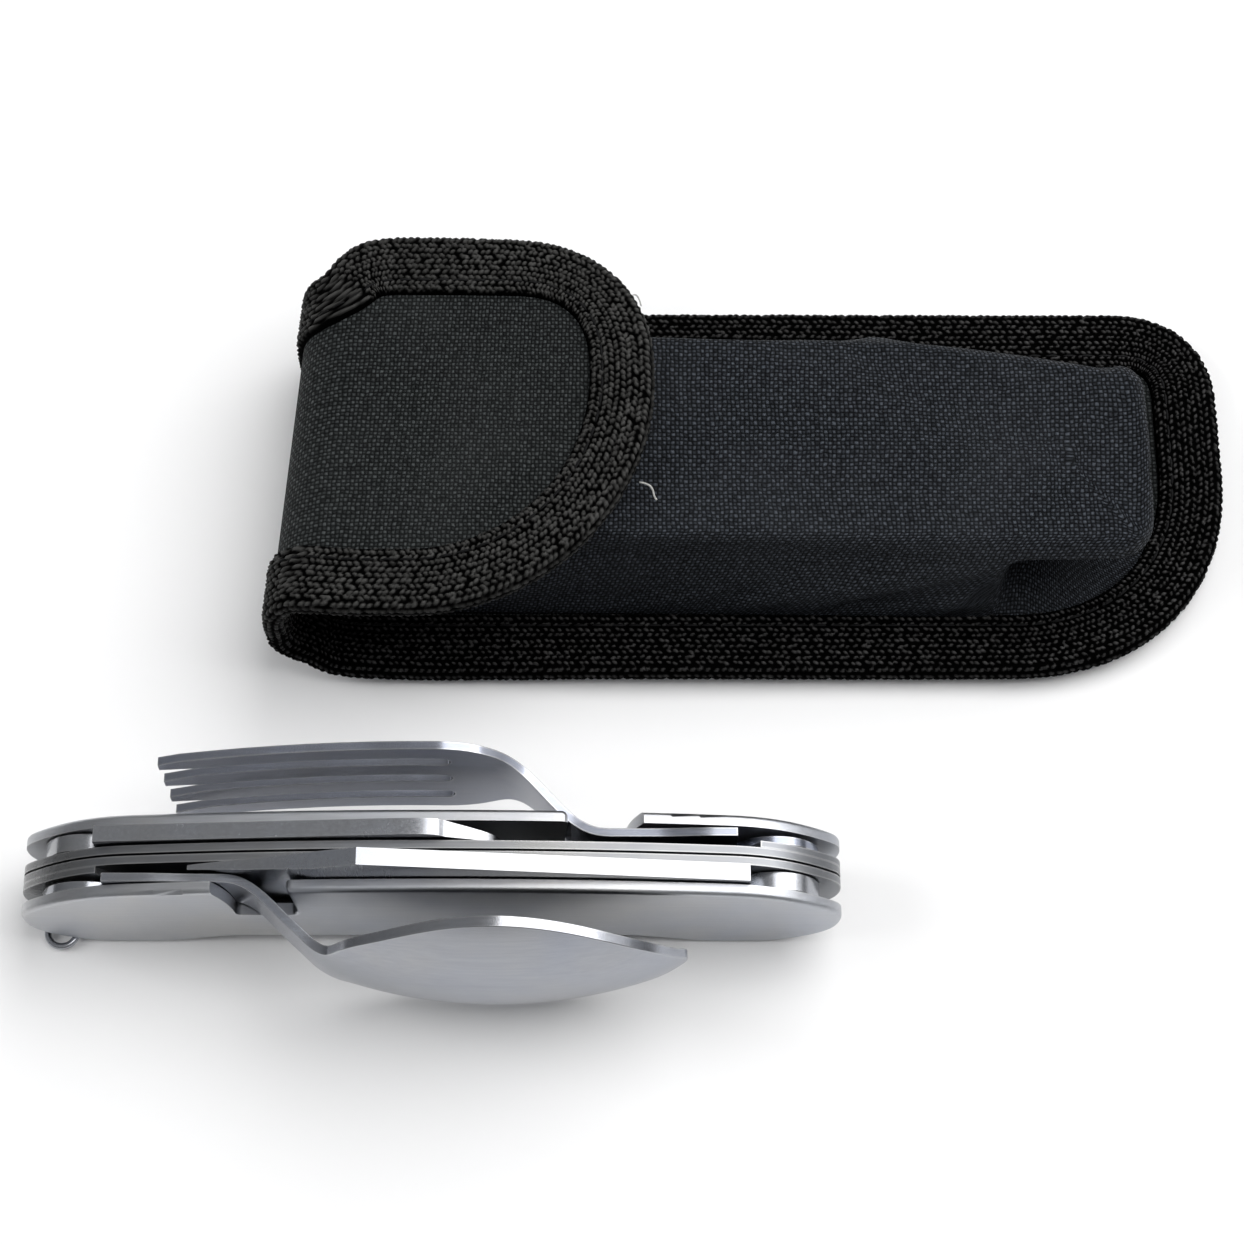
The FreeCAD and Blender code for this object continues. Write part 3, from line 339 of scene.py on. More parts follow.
# ---- Steel ----
def steel(name, colour, roughness, brush_axis, brush, grain, painted_edge_highlight=0.0, tint=(0.55, 0.62, 0.78)):
    """Steel with brush marks along one axis, a fine grain, smudges and a painted highlight lightening its
    rounded edges.
    """
    material, tree, shader = new_material(name)
    place = node(tree, "ShaderNodeTexCoord").outputs["Object"]
    across_brush = 2600.0
    along_brush = 70.0
    edge_radius = 0.35 * MM
    along = [along_brush if axis == brush_axis else across_brush for axis in "xyz"]
    marks = noise(tree, stretch(tree, place, along), 1.0, 3.0, 0.65)
    speckle = noise(tree, place, 5200.0, 2.0, 0.6)
    smudge = noise(tree, place, 55.0, 4.0, 0.6)
    worn = span(tree, smudge, 0.35, 0.7, -0.05, 0.07)
    rough = calc(tree, "ADD", roughness, worn)
    rough = calc(tree, "MULTIPLY_ADD", marks, 0.12, rough)
    join(tree, calc(tree, "MAXIMUM", rough, 0.05), shader.inputs["Roughness"])
    tone = span(tree, marks, 0.3, 0.7, 0.93, 1.05)
    shade = blend_colour(tree, span(tree, smudge, 0.3, 0.75, 0.0, 0.45), colour,
                         tuple(c * t * 1.45 for c, t in zip(colour, tint)))
    toned = node(tree, "ShaderNodeVectorMath", {0: shade}, operation="SCALE")
    join(tree, tone, toned.inputs["Scale"])
    result = toned.outputs[0]
    # Painted highlight: where the bevel node finds a rounded edge, the colour is blended towards light
    # grey, standing in for the light the edges catch.
    if painted_edge_highlight:
        rounded = node(tree, "ShaderNodeBevel", {"Radius": edge_radius}, samples=4).outputs[0]
        flat = node(tree, "ShaderNodeNewGeometry").outputs["Normal"]
        same = node(tree, "ShaderNodeVectorMath", {0: rounded, 1: flat}, operation="DOT_PRODUCT")
        edge = span(tree, same.outputs["Value"], 0.995, 0.93, 0.0, painted_edge_highlight)
        result = blend_colour(tree, edge, result, (0.6, 0.6, 0.6))
    join(tree, result, shader.inputs["Base Color"])
    shader.inputs["Metallic"].default_value = 1.0
    height = calc(tree, "MULTIPLY_ADD", marks, brush, calc(tree, "MULTIPLY", speckle, grain))
    join(tree, bump(tree, height, 0.02 * MM), shader.inputs["Normal"])
    return material


# ---- Woven cloth ----
WEAVE = 0.58 * MM
YARN_WANDER = 1.1 * WEAVE
LINT_COLOUR = (0.12, 0.12, 0.12)


def weave_cloth(name, dark, light):
    """Plain weave laid out in the cloth's own flat pattern, so it bends and stretches with it."""
    material, tree, shader = new_material(name)
    flat = node(tree, "ShaderNodeUVMap", uv_map="cloth").outputs[0]
    drift = node(tree, "ShaderNodeTexNoise", {"Vector": flat, "Scale": 520.0, "Detail": 3.0})
    wander = node(tree, "ShaderNodeVectorMath", {0: drift.outputs["Color"], 1: (0.5, 0.5, 0.5)},
                  operation="SUBTRACT")
    wander = node(tree, "ShaderNodeVectorMath", {0: wander.outputs[0], "Scale": YARN_WANDER},
                  operation="SCALE")
    moved = node(tree, "ShaderNodeVectorMath", {0: flat, 1: wander.outputs[0]}, operation="ADD")
    parts = node(tree, "ShaderNodeSeparateXYZ", {0: moved.outputs[0]})
    waves = []
    for axis in (0, 1):
        phase = calc(tree, "MULTIPLY", parts.outputs[axis], math.pi / WEAVE)
        waves.append(calc(tree, "SINE", phase))
    over = calc(tree, "MULTIPLY", waves[0], waves[1])
    lump = calc(tree, "POWER", calc(tree, "ABSOLUTE", over), 0.9)
    warp_up = span(tree, over, -0.25, 0.25, 0.0, 1.0)
    strand = calc(tree, "MULTIPLY", lump, calc(tree, "MULTIPLY_ADD", warp_up, 0.62, 0.38))
    uneven = noise(tree, flat, 900.0, 2.0)
    strand = calc(tree, "MULTIPLY", strand, span(tree, uneven, 0.3, 0.7, 0.45, 1.55))
    fibre = noise(tree, stretch(tree, flat, (9000.0, 5000.0, 1.0)), 1.0, 2.0)
    strand = calc(tree, "MULTIPLY", strand, span(tree, fibre, 0.3, 0.7, 0.8, 1.15))
    shade = blend_colour(tree, strand, dark, light)
    fade = noise(tree, flat, 45.0, 3.0)
    dusty = tuple(0.6 * c + 0.4 * sum(light) / 3 for c in light)
    shade = blend_colour(tree, span(tree, fade, 0.45, 0.75, 0.0, 0.12), shade, dusty)
    dots = node(tree, "ShaderNodeTexVoronoi", {"Vector": flat, "Scale": 330.0}, feature="F1")
    speck = span(tree, dots.outputs["Distance"], 0.05, 0.02, 0.0, 0.35)
    shade = blend_colour(tree, speck, shade, LINT_COLOUR)
    join(tree, shade, shader.inputs["Base Color"])
    join(tree, span(tree, strand, 0.0, 1.0, 0.85, 0.5), shader.inputs["Roughness"])
    shader.inputs["Specular IOR Level"].default_value = 0.12
    coarse = bump(tree, lump, 0.22 * MM, 0.9)
    join(tree, bump(tree, fibre, 0.03 * MM, 0.5, coarse), shader.inputs["Normal"])
    return material


def tape_cloth(name, dark, light, low=0.2, high=0.8):
    """Tape or webbing: the yarn's lumps are in the mesh, and their relief from low to high blends the
    colour from dark to light, painted shade in the gaps between lumps.
    """
    material, tree, shader = new_material(name)
    flat = node(tree, "ShaderNodeUVMap", uv_map="cloth").outputs[0]
    relief = node(tree, "ShaderNodeAttribute", attribute_name="relief").outputs["Fac"]
    fibre = noise(tree, stretch(tree, flat, (2600.0, 9000.0, 1.0)), 1.0, 3.0, 0.6)
    uneven = noise(tree, flat, 700.0, 2.0)
    worn = noise(tree, flat, 60.0, 3.0)
    # Painted shade: low relief takes the dark colour and lump tops the light one, standing in for the shade
    # that falls in the gaps.
    share = span(tree, relief, low, high, 0.0, 1.0)
    share = calc(tree, "POWER", share, 1.3)
    share = calc(tree, "MULTIPLY", share, span(tree, fibre, 0.25, 0.75, 0.55, 1.2))
    share = calc(tree, "MULTIPLY", share, span(tree, uneven, 0.3, 0.7, 0.6, 1.25))
    share = calc(tree, "MULTIPLY", share, span(tree, worn, 0.3, 0.7, 0.85, 1.2))
    shade = blend_colour(tree, share, dark, light)
    join(tree, shade, shader.inputs["Base Color"])
    join(tree, span(tree, share, 0.0, 1.0, 0.9, 0.5), shader.inputs["Roughness"])
    join(tree, span(tree, share, 0.0, 1.0, 0.02, 0.25), shader.inputs["Specular IOR Level"])
    join(tree, bump(tree, fibre, 0.05 * MM, 0.7), shader.inputs["Normal"])
    return material


def thread_material(name, colour):
    material, tree, shader = new_material(name)
    place = node(tree, "ShaderNodeTexCoord").outputs["Object"]
    twist = noise(tree, place, 6000.0, 2.0)
    dark = tuple(c * 0.5 for c in colour)
    shade = blend_colour(tree, span(tree, twist, 0.3, 0.7, 0.0, 1.0), dark, colour)
    join(tree, shade, shader.inputs["Base Color"])
    join(tree, span(tree, twist, 0.3, 0.7, 0.55, 0.8), shader.inputs["Roughness"])
    shader.inputs["Specular IOR Level"].default_value = 0.15
    join(tree, bump(tree, twist, 0.05 * MM), shader.inputs["Normal"])
    return material


# ---- Steel pieces: the imported part's own meshes, with softened edges ----
# Colour, roughness, brush direction, depth of brush marks, depth of grain, strength of the painted edge
# highlight.
materials = {
    "satin": steel("satin_steel", (0.47, 0.47, 0.47), 0.30, "x", 0.5, 0.9, painted_edge_highlight=0.5),
    "polished": steel("polished_steel", (0.35, 0.355, 0.37), 0.14, "x", 0.12, 0.25, painted_edge_highlight=0.55),
    # The fork's steel is darker and bluer than the polished steel: a painted dark bluish reflection of the
    # surroundings its faces mirror.
    "fork": steel("fork_steel_painted_reflection", (0.30, 0.31, 0.345), 0.12, "x", 0.1, 0.1, painted_edge_highlight=0.9),
    "blade": steel("blade_steel", (0.40, 0.40, 0.40), 0.16, "z", 0.2, 0.04, painted_edge_highlight=0.4),
    "liner": steel("liner_steel", (0.24, 0.24, 0.238), 0.26, "x", 0.5, 0.3, painted_edge_highlight=0.6),
    # Springs and rivets get far darker steel than the rest: painted shade for the channels between the
    # liners and the handle ends where they sit.
    "spring": steel("spring_steel", (0.12, 0.12, 0.12), 0.3, "x", 0.8, 0.5, painted_edge_highlight=0.2),
    "rivet": steel("rivet_steel", (0.2, 0.2, 0.2), 0.28, "y", 0.6, 0.4, painted_edge_highlight=0.3),
    "wire": steel("wire_steel", (0.42, 0.42, 0.42), 0.14, "y", 0.2, 0.1),
}
# For each group of pieces: look, material slot, edge rounding, smallest angle that counts as an edge.
steel_groups = (
    (("near_scale", "far_scale"), "satin", "satin_steel", 0.28, 38),
    (("near_liner", "far_liner"), "liner", "liner_steel", 0.22, 38),
    (("near_spacer", "far_spacer"), "liner", "liner_steel", 0.1, 38),
    (("near_spring", "far_spring"), "spring", "spring_steel", 0.1, 38),
    (("near_spring_rivets", "far_spring_rivets", "spoon_rivet", "knife_rivet", "fork_rivet",
      "opener_rivet", "coupling_studs"), "rivet", "rivet_steel", 0.1, 38),
    (("lanyard_loop",), "wire", "wire_steel", 0.1, 38),
    (("spoon",), "polished", "polished_steel", 0.32, 38),
    (("fork",), "fork", "polished_steel", 0.3, 38),
    (("knife",), "blade", "blade_steel", 0.1, 14),
    (("opener",), "blade", "blade_steel", 0.15, 14),
)
WELD_DISTANCE = 0.004 * MM


def finish_steel(piece, look, rounding, crease):
    piece.data.materials.clear()
    piece.data.materials.append(materials[look])
    piece.data.polygons.foreach_set("use_smooth", np.full(len(piece.data.polygons), True))
    if piece.data.has_custom_normals:
        with bpy.context.temp_override(object=piece, active_object=piece, mesh=piece.data):
            bpy.ops.mesh.customdata_custom_splitnormals_clear()
    add_modifier(piece, "WELD", merge_threshold=WELD_DISTANCE)
    add_modifier(piece, "BEVEL", width=rounding * MM, segments=3, limit_method="ANGLE",
                 angle_limit=math.radians(crease), harden_normals=True)


for node_names, look, slot_name, rounding, crease in steel_groups:
    for node_name in node_names:
        finish_steel(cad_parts[node_name], look, rounding, crease)


# ---- Pouch materials ----
# Near-black colour for the tapes' low gaps: painted shade between the lumps of yarn.
PAINTED_GAP_SHADE = (0.0003, 0.0003, 0.0003)
materials.update({
    "pocket": weave_cloth("nylon_pocket", (0.0004, 0.0006, 0.0010), (0.058, 0.066, 0.079)),
    "nylon": weave_cloth("nylon_cloth", (0.0010, 0.0014, 0.0015), (0.054, 0.060, 0.061)),
    "tape": tape_cloth("edge_tape", PAINTED_GAP_SHADE, (0.044, 0.0435, 0.0415), 0.22, 0.85),
    # The back panel's tape is a darker copy of the edge tape, with more of it in the gap colour: painted
    # shade for the lower, shadowed tape round the back panel.
    "base_tape": tape_cloth("edge_tape_painted_shade", PAINTED_GAP_SHADE, (0.036, 0.035, 0.035), 0.5, 0.95),
    "thread": thread_material("black_thread", (0.005, 0.005, 0.0055)),
    "thread_end": thread_material("thread_end", (0.55, 0.55, 0.53)),
    "hook": thread_material("hook_tape", (0.03, 0.03, 0.03)),
    "loop": tape_cloth("loop_tape", (0.004, 0.004, 0.004), (0.05, 0.05, 0.052)),
    "webbing": tape_cloth("webbing", (0.003, 0.003, 0.003), (0.06, 0.06, 0.062)),
})


def dress(piece, finish):
    piece.data.materials.append(materials[finish])
    return piece


def bend_with_strip(piece, side):
    """Bakes the piece's placement into its mesh; the back panel's half and the flap's half are treated
    alike, with no bend."""
    if side == BASE:
        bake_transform(piece)
    else:
        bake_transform(piece)


# ---- Cloth of the strip ----
def strip_cloth(name, side, end, corners, *replaced):
    """One half of the strip, which replaces the named plain solids."""
    inset = 1.5 * MM
    d = np.arange(0, end - inset, 1.0 * MM)
    d = np.append(d, end - inset)
    columns = 41
    share = np.linspace(-1, 1, columns)
    near = edge_half_width(d, end, *corners[0], FOLD_NEAR) - inset
    far = edge_half_width(d, end, *corners[1], FOLD_FAR) - inset
    y = np.where(share[None, :] < 0, share[None, :] * near[:, None], share[None, :] * far[:, None])
    along = np.repeat(d[:, None], columns, 1)
    points = strip_place(along, y, 0.0, side)
    uv = np.stack([side * along, y], -1)
    piece = mesh_piece(name, points, grid_faces(len(d), columns), uv)
    add_modifier(piece, "SOLIDIFY", thickness=2 * CLOTH_HALF, offset=0.0)
    dress(piece, "nylon")
    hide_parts(*replaced)
    bend_with_strip(piece, side)


strip_cloth("pouch_back_cloth", *BASE_STRIP, "back_panel", "flap_fold")
strip_cloth("pouch_flap_cloth", *FLAP_STRIP, "flap_panel")


# ---- Edge tape, folded over the strip's edge ----
def scatter(a, b, seed):
    """A repeatable random value from 0 to 1 for each pair of whole numbers."""
    value = np.sin(a * 127.1 + b * 311.7 + seed * 74.7) * 43758.5453
    return value - np.floor(value)


def drift(u, row, length, seed):
    """A smooth random value from -1 to 1 along u, different for each row."""
    place = u / length
    left = np.floor(place)
    share = ease(place - left)
    return 2 * (scatter(left, row, seed) * (1 - share) + scatter(left + 1, row, seed) * share) - 1


def tape_relief(u, v, middle):
    """Height of the tape's lumps of yarn, 0 to 1, at u along and v across; middle is v at its rim.
    The lumps lean one way in even rows and the other way in odd rows. The rim has cords along it."""
    rim_half = 1.3 * MM
    cord_pitch = 0.75 * MM
    cord_wander = 1.3 * MM
    rim_weight = 0.45
    nearest = np.full(u.shape, 9.0)
    for row_step in (-1, 0, 1):
        row = np.floor(v / TAPE_ROW) + row_step
        stagger = 0.5 * (row % 2)
        lean = np.where(row % 2 == 0, 0.55, -0.45)
        for step in (-1, 0, 1):
            place = np.floor(u / TAPE_GRAIN - stagger) + step
            across = v / TAPE_ROW - row - 0.5 - 0.3 * (scatter(place, row, 2) - 0.5)
            along = u / TAPE_GRAIN - stagger - place - 0.5 - 0.4 * (scatter(place, row, 1) - 0.5)
            reach = 0.9 + 0.25 * scatter(place, row, 3)
            nearest = np.minimum(nearest, np.hypot(along + lean * across, across) / reach)
    relief = 1 - ease((nearest - 0.12) / 0.52)
    row = np.floor(v / TAPE_ROW)
    rim = np.exp(-(((v - middle) / rim_half) ** 4))
    cord = np.abs(np.sin(math.pi * (v - middle) / cord_pitch)) ** 0.8
    cord = cord * (0.72 + 0.2 * drift(u, row, cord_wander, 5))
    return relief * (1 - rim_weight * rim) + rim_weight * rim * cord


def tape_section():
    """Distance from the edge, height over the middle of the cloth, outward direction, and run length."""
    step = 0.26 * MM
    flat = np.arange(TAPE_WIDTH, TAPE_HALF, -step)
    turn = np.linspace(0, math.pi, 15)
    inner_edge = [TAPE_WIDTH + 0.25 * MM]
    inset = np.concatenate([inner_edge, flat, TAPE_HALF * (1 - np.sin(turn)), flat[::-1], inner_edge])
    height = np.concatenate([[CLOTH_HALF], np.full(len(flat), TAPE_HALF), TAPE_HALF * np.cos(turn),
                             np.full(len(flat), -TAPE_HALF), [-CLOTH_HALF]])
    side = np.concatenate([[0], np.zeros(len(flat)), -np.sin(turn), np.zeros(len(flat)), [0]])
    up = np.concatenate([[0], np.ones(len(flat)), np.cos(turn), -np.ones(len(flat)), [0]])
    run = np.concatenate([[0], np.cumsum(np.hypot(np.diff(inset), np.diff(height)))])
    return inset, height, side, up, run


def edge_tape(name, side, end, corners, finish, *replaced):
    path, along = edge_path(end, corners, TAPE_STEP)
    into = inward(path)
    inset, height, lean, up, run = tape_section()
    u = np.repeat(along[:, None], len(run), 1)
    v = np.repeat(run[None, :], len(along), 0)
    relief = tape_relief(u, v, run[len(run) // 2]) * ((lean != 0) | (up != 0))
    rise = TAPE_RELIEF * relief
    depth = inset[None, :] + lean[None, :] * rise
    high = height[None, :] + up[None, :] * rise
    d = path[:, 0][:, None] + into[:, 0][:, None] * depth
    y = path[:, 1][:, None] + into[:, 1][:, None] * depth
    d = np.maximum(d, 0)
    points = strip_place(d, y, high, side)
    piece = swept_piece(name, points, np.stack([u, v], -1))
    float_attribute(piece, "relief", relief)
    turn_faces_outward(piece)
    dress(piece, finish)
    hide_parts(*replaced)
    bend_with_strip(piece, side)


edge_tape("pouch_back_tape", *BASE_STRIP, "base_tape", "back_panel_tape", "flap_fold_tape")
edge_tape("pouch_flap_tape", *FLAP_STRIP, "tape", "flap_tape")


# ---- Stitches ----
STITCH_PITCH = 2.5 * MM
STITCH_LENGTH = 1.9 * MM
STITCH_HALF = 0.17 * MM
STITCH_INSET = 6.9 * MM


def stitch_mesh(name, rows, thickness=STITCH_HALF):
    """Short stitches along each row; a row is (points, outward directions)."""
    rings = np.array([0.0, 0.12, 0.4, 0.6, 0.88, 1.0])
    size = np.array([0.15, 0.75, 1.0, 1.0, 0.75, 0.15])
    around = np.linspace(0, 2 * math.pi, 7)[:-1]
    faces_one = grid_faces(len(rings), len(around), close_columns=True).tolist()
    faces_one.append(list(range(len(around)))[::-1])
    faces_one.append(list(range((len(rings) - 1) * len(around), len(rings) * len(around))))
    all_points, all_faces = [], []
    for points, outward in rows:
        length = length_along(points)
        for start in np.arange(STITCH_PITCH / 2, length[-1] - STITCH_PITCH, STITCH_PITCH):
            at = start + rings * STITCH_LENGTH
            middle = at_lengths(at, length, points)
            up = at_lengths(at, length, outward)
            run = (middle[-1] - middle[0]) / np.linalg.norm(middle[-1] - middle[0])
            across = np.cross(up, run)
            half_wide = (size * thickness * 1.1)[:, None, None]
            half_tall = (size * thickness * 0.8)[:, None, None]
            wide = across[:, None, :] * np.cos(around)[None, :, None] * half_wide
            tall = up[:, None, :] * np.sin(around)[None, :, None] * half_tall
            arch = up * (np.sin(math.pi * rings) * thickness * 0.8)[:, None]
            base = sum(len(p) for p in all_points)
            all_points.append((middle[:, None, :] + arch[:, None, :] + wide + tall).reshape(-1, 3))
            all_faces += [[base + i for i in face] for face in faces_one]
    piece = mesh_piece(name, np.concatenate(all_points), all_faces)
    turn_faces_outward(piece)
    return dress(piece, "thread")


def tape_stitch_rows(side, end, corners):
    """One row of stitches on each face of the tape."""
    path = edge_path(end, corners, 1.0 * MM)[0]
    into = inward(path)
    d = np.maximum(path[:, 0] + into[:, 0] * STITCH_INSET, 0)
    y = path[:, 1] + into[:, 1] * STITCH_INSET
    rows = []
    for face in (1, -1):
        level = TAPE_HALF + 0.6 * TAPE_RELIEF
        low = strip_place(d, y, face * level, side)
        high = strip_place(d, y, face * (level + 1 * MM), side)
        rows.append((low, unit(high - low)))
    return rows


bend_with_strip(stitch_mesh("back_stitches", tape_stitch_rows(*BASE_STRIP)), BASE)
bend_with_strip(stitch_mesh("flap_stitches", tape_stitch_rows(*FLAP_STRIP)), FLAP)


# ---- Pocket: one shaped bag of cloth sewn down on three sides ----
POCKET_TOP = pocket_high.z
POCKET_FOOT = pocket_low.z
MOUTH_X = pocket_low.x + 4.5 * MM
FOOT_END_X = pocket_high.x - 0.8 * MM
FOOT_HALF = pocket_high.y
TOP_END_X = FOOT_END_X - 3.6 * MM
TOP_NEAR_Y = (-15.4 * MM, -16.6 * MM)
TOP_FAR_Y = 15.5 * MM
TOP_TAPER_X = 18 * MM
TOP_TAPER = 6.2 * MM
SIDE_STEPS = 64
CORNER_STEPS = 14
END_STEPS = 14
WALL_RINGS = 14
EDGE_RINGS = 6
TOP_RINGS = 12
TOP_EDGE_ROUND = 3.4 * MM
TUCK_START_X = 34.0 * MM
TUCK_DEPTH = 11.5 * MM
TOP_CLOSE = 0.94
FOOT_CORNERS = (19 * MM, 9 * MM)
FOOT_POWER = 2.2
TOP_CORNERS = (3.0 * MM, 4.5 * MM)
TOP_POWER = 2.3
WALL_BULGE = 0.8 * MM
TOP_CROWN = 0.25 * MM
POCKET_CLOTH = 0.9 * MM
POCKET_PRESSURE = 0.6
SETTLING_FRAMES = 20
SETTLING_LIMIT = 0.8 * MM
SEWN_COLUMNS = 4


def straight_side(end_x, at_mouth, at_end):
    """A side's y at x, straight from the mouth to end_x."""
    return lambda x: np.interp(x, [MOUTH_X, end_x], [at_mouth, at_end])


def top_far_side(x):
    """The top's far side, which curves in towards the pocket's closed end."""
    taper = np.clip((x - TOP_TAPER_X) / (TOP_END_X - TOP_TAPER_X), 0, 1)
    return TOP_FAR_Y - TOP_TAPER * taper**1.5


def u_outline(end_x, near_y, far_y, near_corner, far_corner, power):
    """Open outline from the mouth along the near side, round the end and back along the far side."""
    bend = np.linspace(0, math.pi / 2, CORNER_STEPS + 1)
    sin, cos = np.sin(bend) ** (2 / power), np.cos(bend) ** (2 / power)
    near_x = np.linspace(MOUTH_X, end_x - near_corner, SIDE_STEPS + 1)[:-1]
    near_side = np.stack([near_x, near_y(near_x)], -1)
    near_start = near_y(end_x - near_corner)
    near_turn_x = end_x - near_corner + near_corner * sin
    near_turn = np.stack([near_turn_x, near_start + near_corner * (1 - cos)], -1)
    far_start = far_y(end_x - far_corner)
    far_turn_x = end_x - far_corner + far_corner * cos
    far_turn = np.stack([far_turn_x, far_start - far_corner * (1 - sin)], -1)
    end_y = np.linspace(near_turn[-1, 1], far_turn[0, 1], END_STEPS + 1)[1:-1]
    end_edge = np.stack([np.full(len(end_y), end_x), end_y], -1)
    far_x = np.linspace(end_x - far_corner, MOUTH_X, SIDE_STEPS + 1)[1:]
    far_side = np.stack([far_x, far_y(far_x)], -1)
    return np.concatenate([near_side, near_turn, end_edge, far_turn, far_side])


def pocket_rings():
    """Rings from the sewn foot up the wall, over the edge and in to the middle of the top, with
    each point's place in the cloth's flat pattern. The wall is tucked in at the near closed end."""
    foot = u_outline(FOOT_END_X, straight_side(FOOT_END_X, -FOOT_HALF, -FOOT_HALF - 1.2 * MM),
                     straight_side(FOOT_END_X, FOOT_HALF, FOOT_HALF - 1 * MM), *FOOT_CORNERS, FOOT_POWER)
    top_near_side = straight_side(TOP_END_X, *TOP_NEAR_Y)
    top = u_outline(TOP_END_X, top_near_side, top_far_side, *TOP_CORNERS, TOP_POWER)
    middle_y = (top_near_side(top[:, 0]) + top_far_side(top[:, 0])) / 2
    spine = np.stack([np.minimum(top[:, 0], TOP_END_X - 11 * MM), middle_y], -1)
    spine = (spine + spine[::-1]) / 2
    run = unit(np.gradient(top, axis=0))
    out = np.stack([run[:, 1], -run[:, 0]], -1)
    near_side = ease((-6 * MM - top[:, 1]) / (5 * MM))
    near_end = 0.8 + 0.2 * ease((TOP_END_X - top[:, 0]) / (3 * MM))
    rise = POCKET_TOP - POCKET_FOOT
    slant = np.hypot(np.linalg.norm(foot - top, axis=1), rise)
    wall_share = 1 - TOP_EDGE_ROUND / rise
    rings = []
    for share in np.linspace(0, 1, WALL_RINGS):
        t = share * wall_share
        away_from_end = top[:, 0] < TOP_END_X - 12 * MM
        bulge = WALL_BULGE * math.sin(math.pi * share) * (0.35 + 0.65 * away_from_end)
        tuck = TUCK_DEPTH * math.sin(math.pi * share) ** 0.35
        plan = foot + (top - foot) * t + out * bulge[:, None]
        tuck_here = ease((plan[:, 0] - TUCK_START_X) / (2.2 * MM)) * near_side * near_end
        plan = plan - out * (tuck * tuck_here)[:, None]
        rings.append(np.column_stack([plan, np.full(len(plan), POCKET_FOOT + rise * t)]))
    steps_down = np.linalg.norm(np.diff(np.array(rings), axis=0), axis=2)[::-1]
    below_edge = np.concatenate([np.cumsum(steps_down, axis=0)[::-1], np.zeros((1, len(top)))])
    flats = [top + out * (slant * (1 - wall_share) + run_down)[:, None] for run_down in below_edge]
    wall_top = rings[-1][:, :2]
    rim = top - out * TOP_EDGE_ROUND * 0.45
    for turn in np.linspace(0, math.pi / 2, EDGE_RINGS)[1:]:
        plan = wall_top + (rim - wall_top) * (1 - math.cos(turn))
        height = POCKET_TOP - TOP_EDGE_ROUND * (1 - math.sin(turn))
        rings.append(np.column_stack([plan, np.full(len(plan), height)]))
        flats.append(top + out * (slant * (1 - wall_share) - turn * TOP_EDGE_ROUND)[:, None])
    last_flat = flats[-1]
    for share in np.linspace(0, TOP_CLOSE, TOP_RINGS)[1:]:
        plan = rim + (spine - rim) * share
        crown = TOP_CROWN * ease(share * 2.5) - TOP_CROWN
        rings.append(np.column_stack([plan, np.full(len(plan), POCKET_TOP + crown)]))
        flats.append(last_flat + (spine - last_flat) * share)
    return np.array(rings), np.array(flats)


def simulate_cloth(piece, pins, pressure, frames, cap):
    """Lets the cloth settle from its cut shape, then keeps no point further than cap from it."""
    rest = np.array([v.co for v in piece.data.vertices])
    group = piece.vertex_groups.new(name="sewn")
    for index, weight in enumerate(pins):
        if weight > 0:
            group.add([index], float(weight), "REPLACE")
    cloth = add_modifier(piece, "CLOTH")
    settings = cloth.settings
    settings.vertex_group_mass = "sewn"
    settings.quality = 6
    settings.mass = 0.3
    settings.tension_stiffness = 25
    settings.compression_stiffness = 25
    settings.shear_stiffness = 10
    settings.bending_stiffness = 6
    settings.shrink_min = -0.015
    settings.use_pressure = True
    settings.uniform_pressure_force = pressure
    settings.effector_weights.gravity = 0
    cloth.point_cache.frame_start = 1
    cloth.point_cache.frame_end = frames
    scene = bpy.context.scene
    for number in range(1, frames + 1):
        scene.frame_set(number)
    settled = piece.evaluated_get(bpy.context.evaluated_depsgraph_get()).to_mesh()
    moved = np.array([v.co for v in settled.vertices])
    piece.modifiers.remove(cloth)
    scene.frame_set(1)
    step = moved - rest
    size = np.linalg.norm(step, axis=1)
    step *= np.minimum(1.0, cap / np.maximum(size, 1e-9))[:, None]
    piece.data.vertices.foreach_set("co", (rest + step).astype(np.float32).ravel())
    piece.data.update()


def join_doubles(piece):
    work = bmesh.new()
    work.from_mesh(piece.data)
    bmesh.ops.remove_doubles(work, verts=work.verts, dist=0.001 * MM)
    work.to_mesh(piece.data)
    work.free()


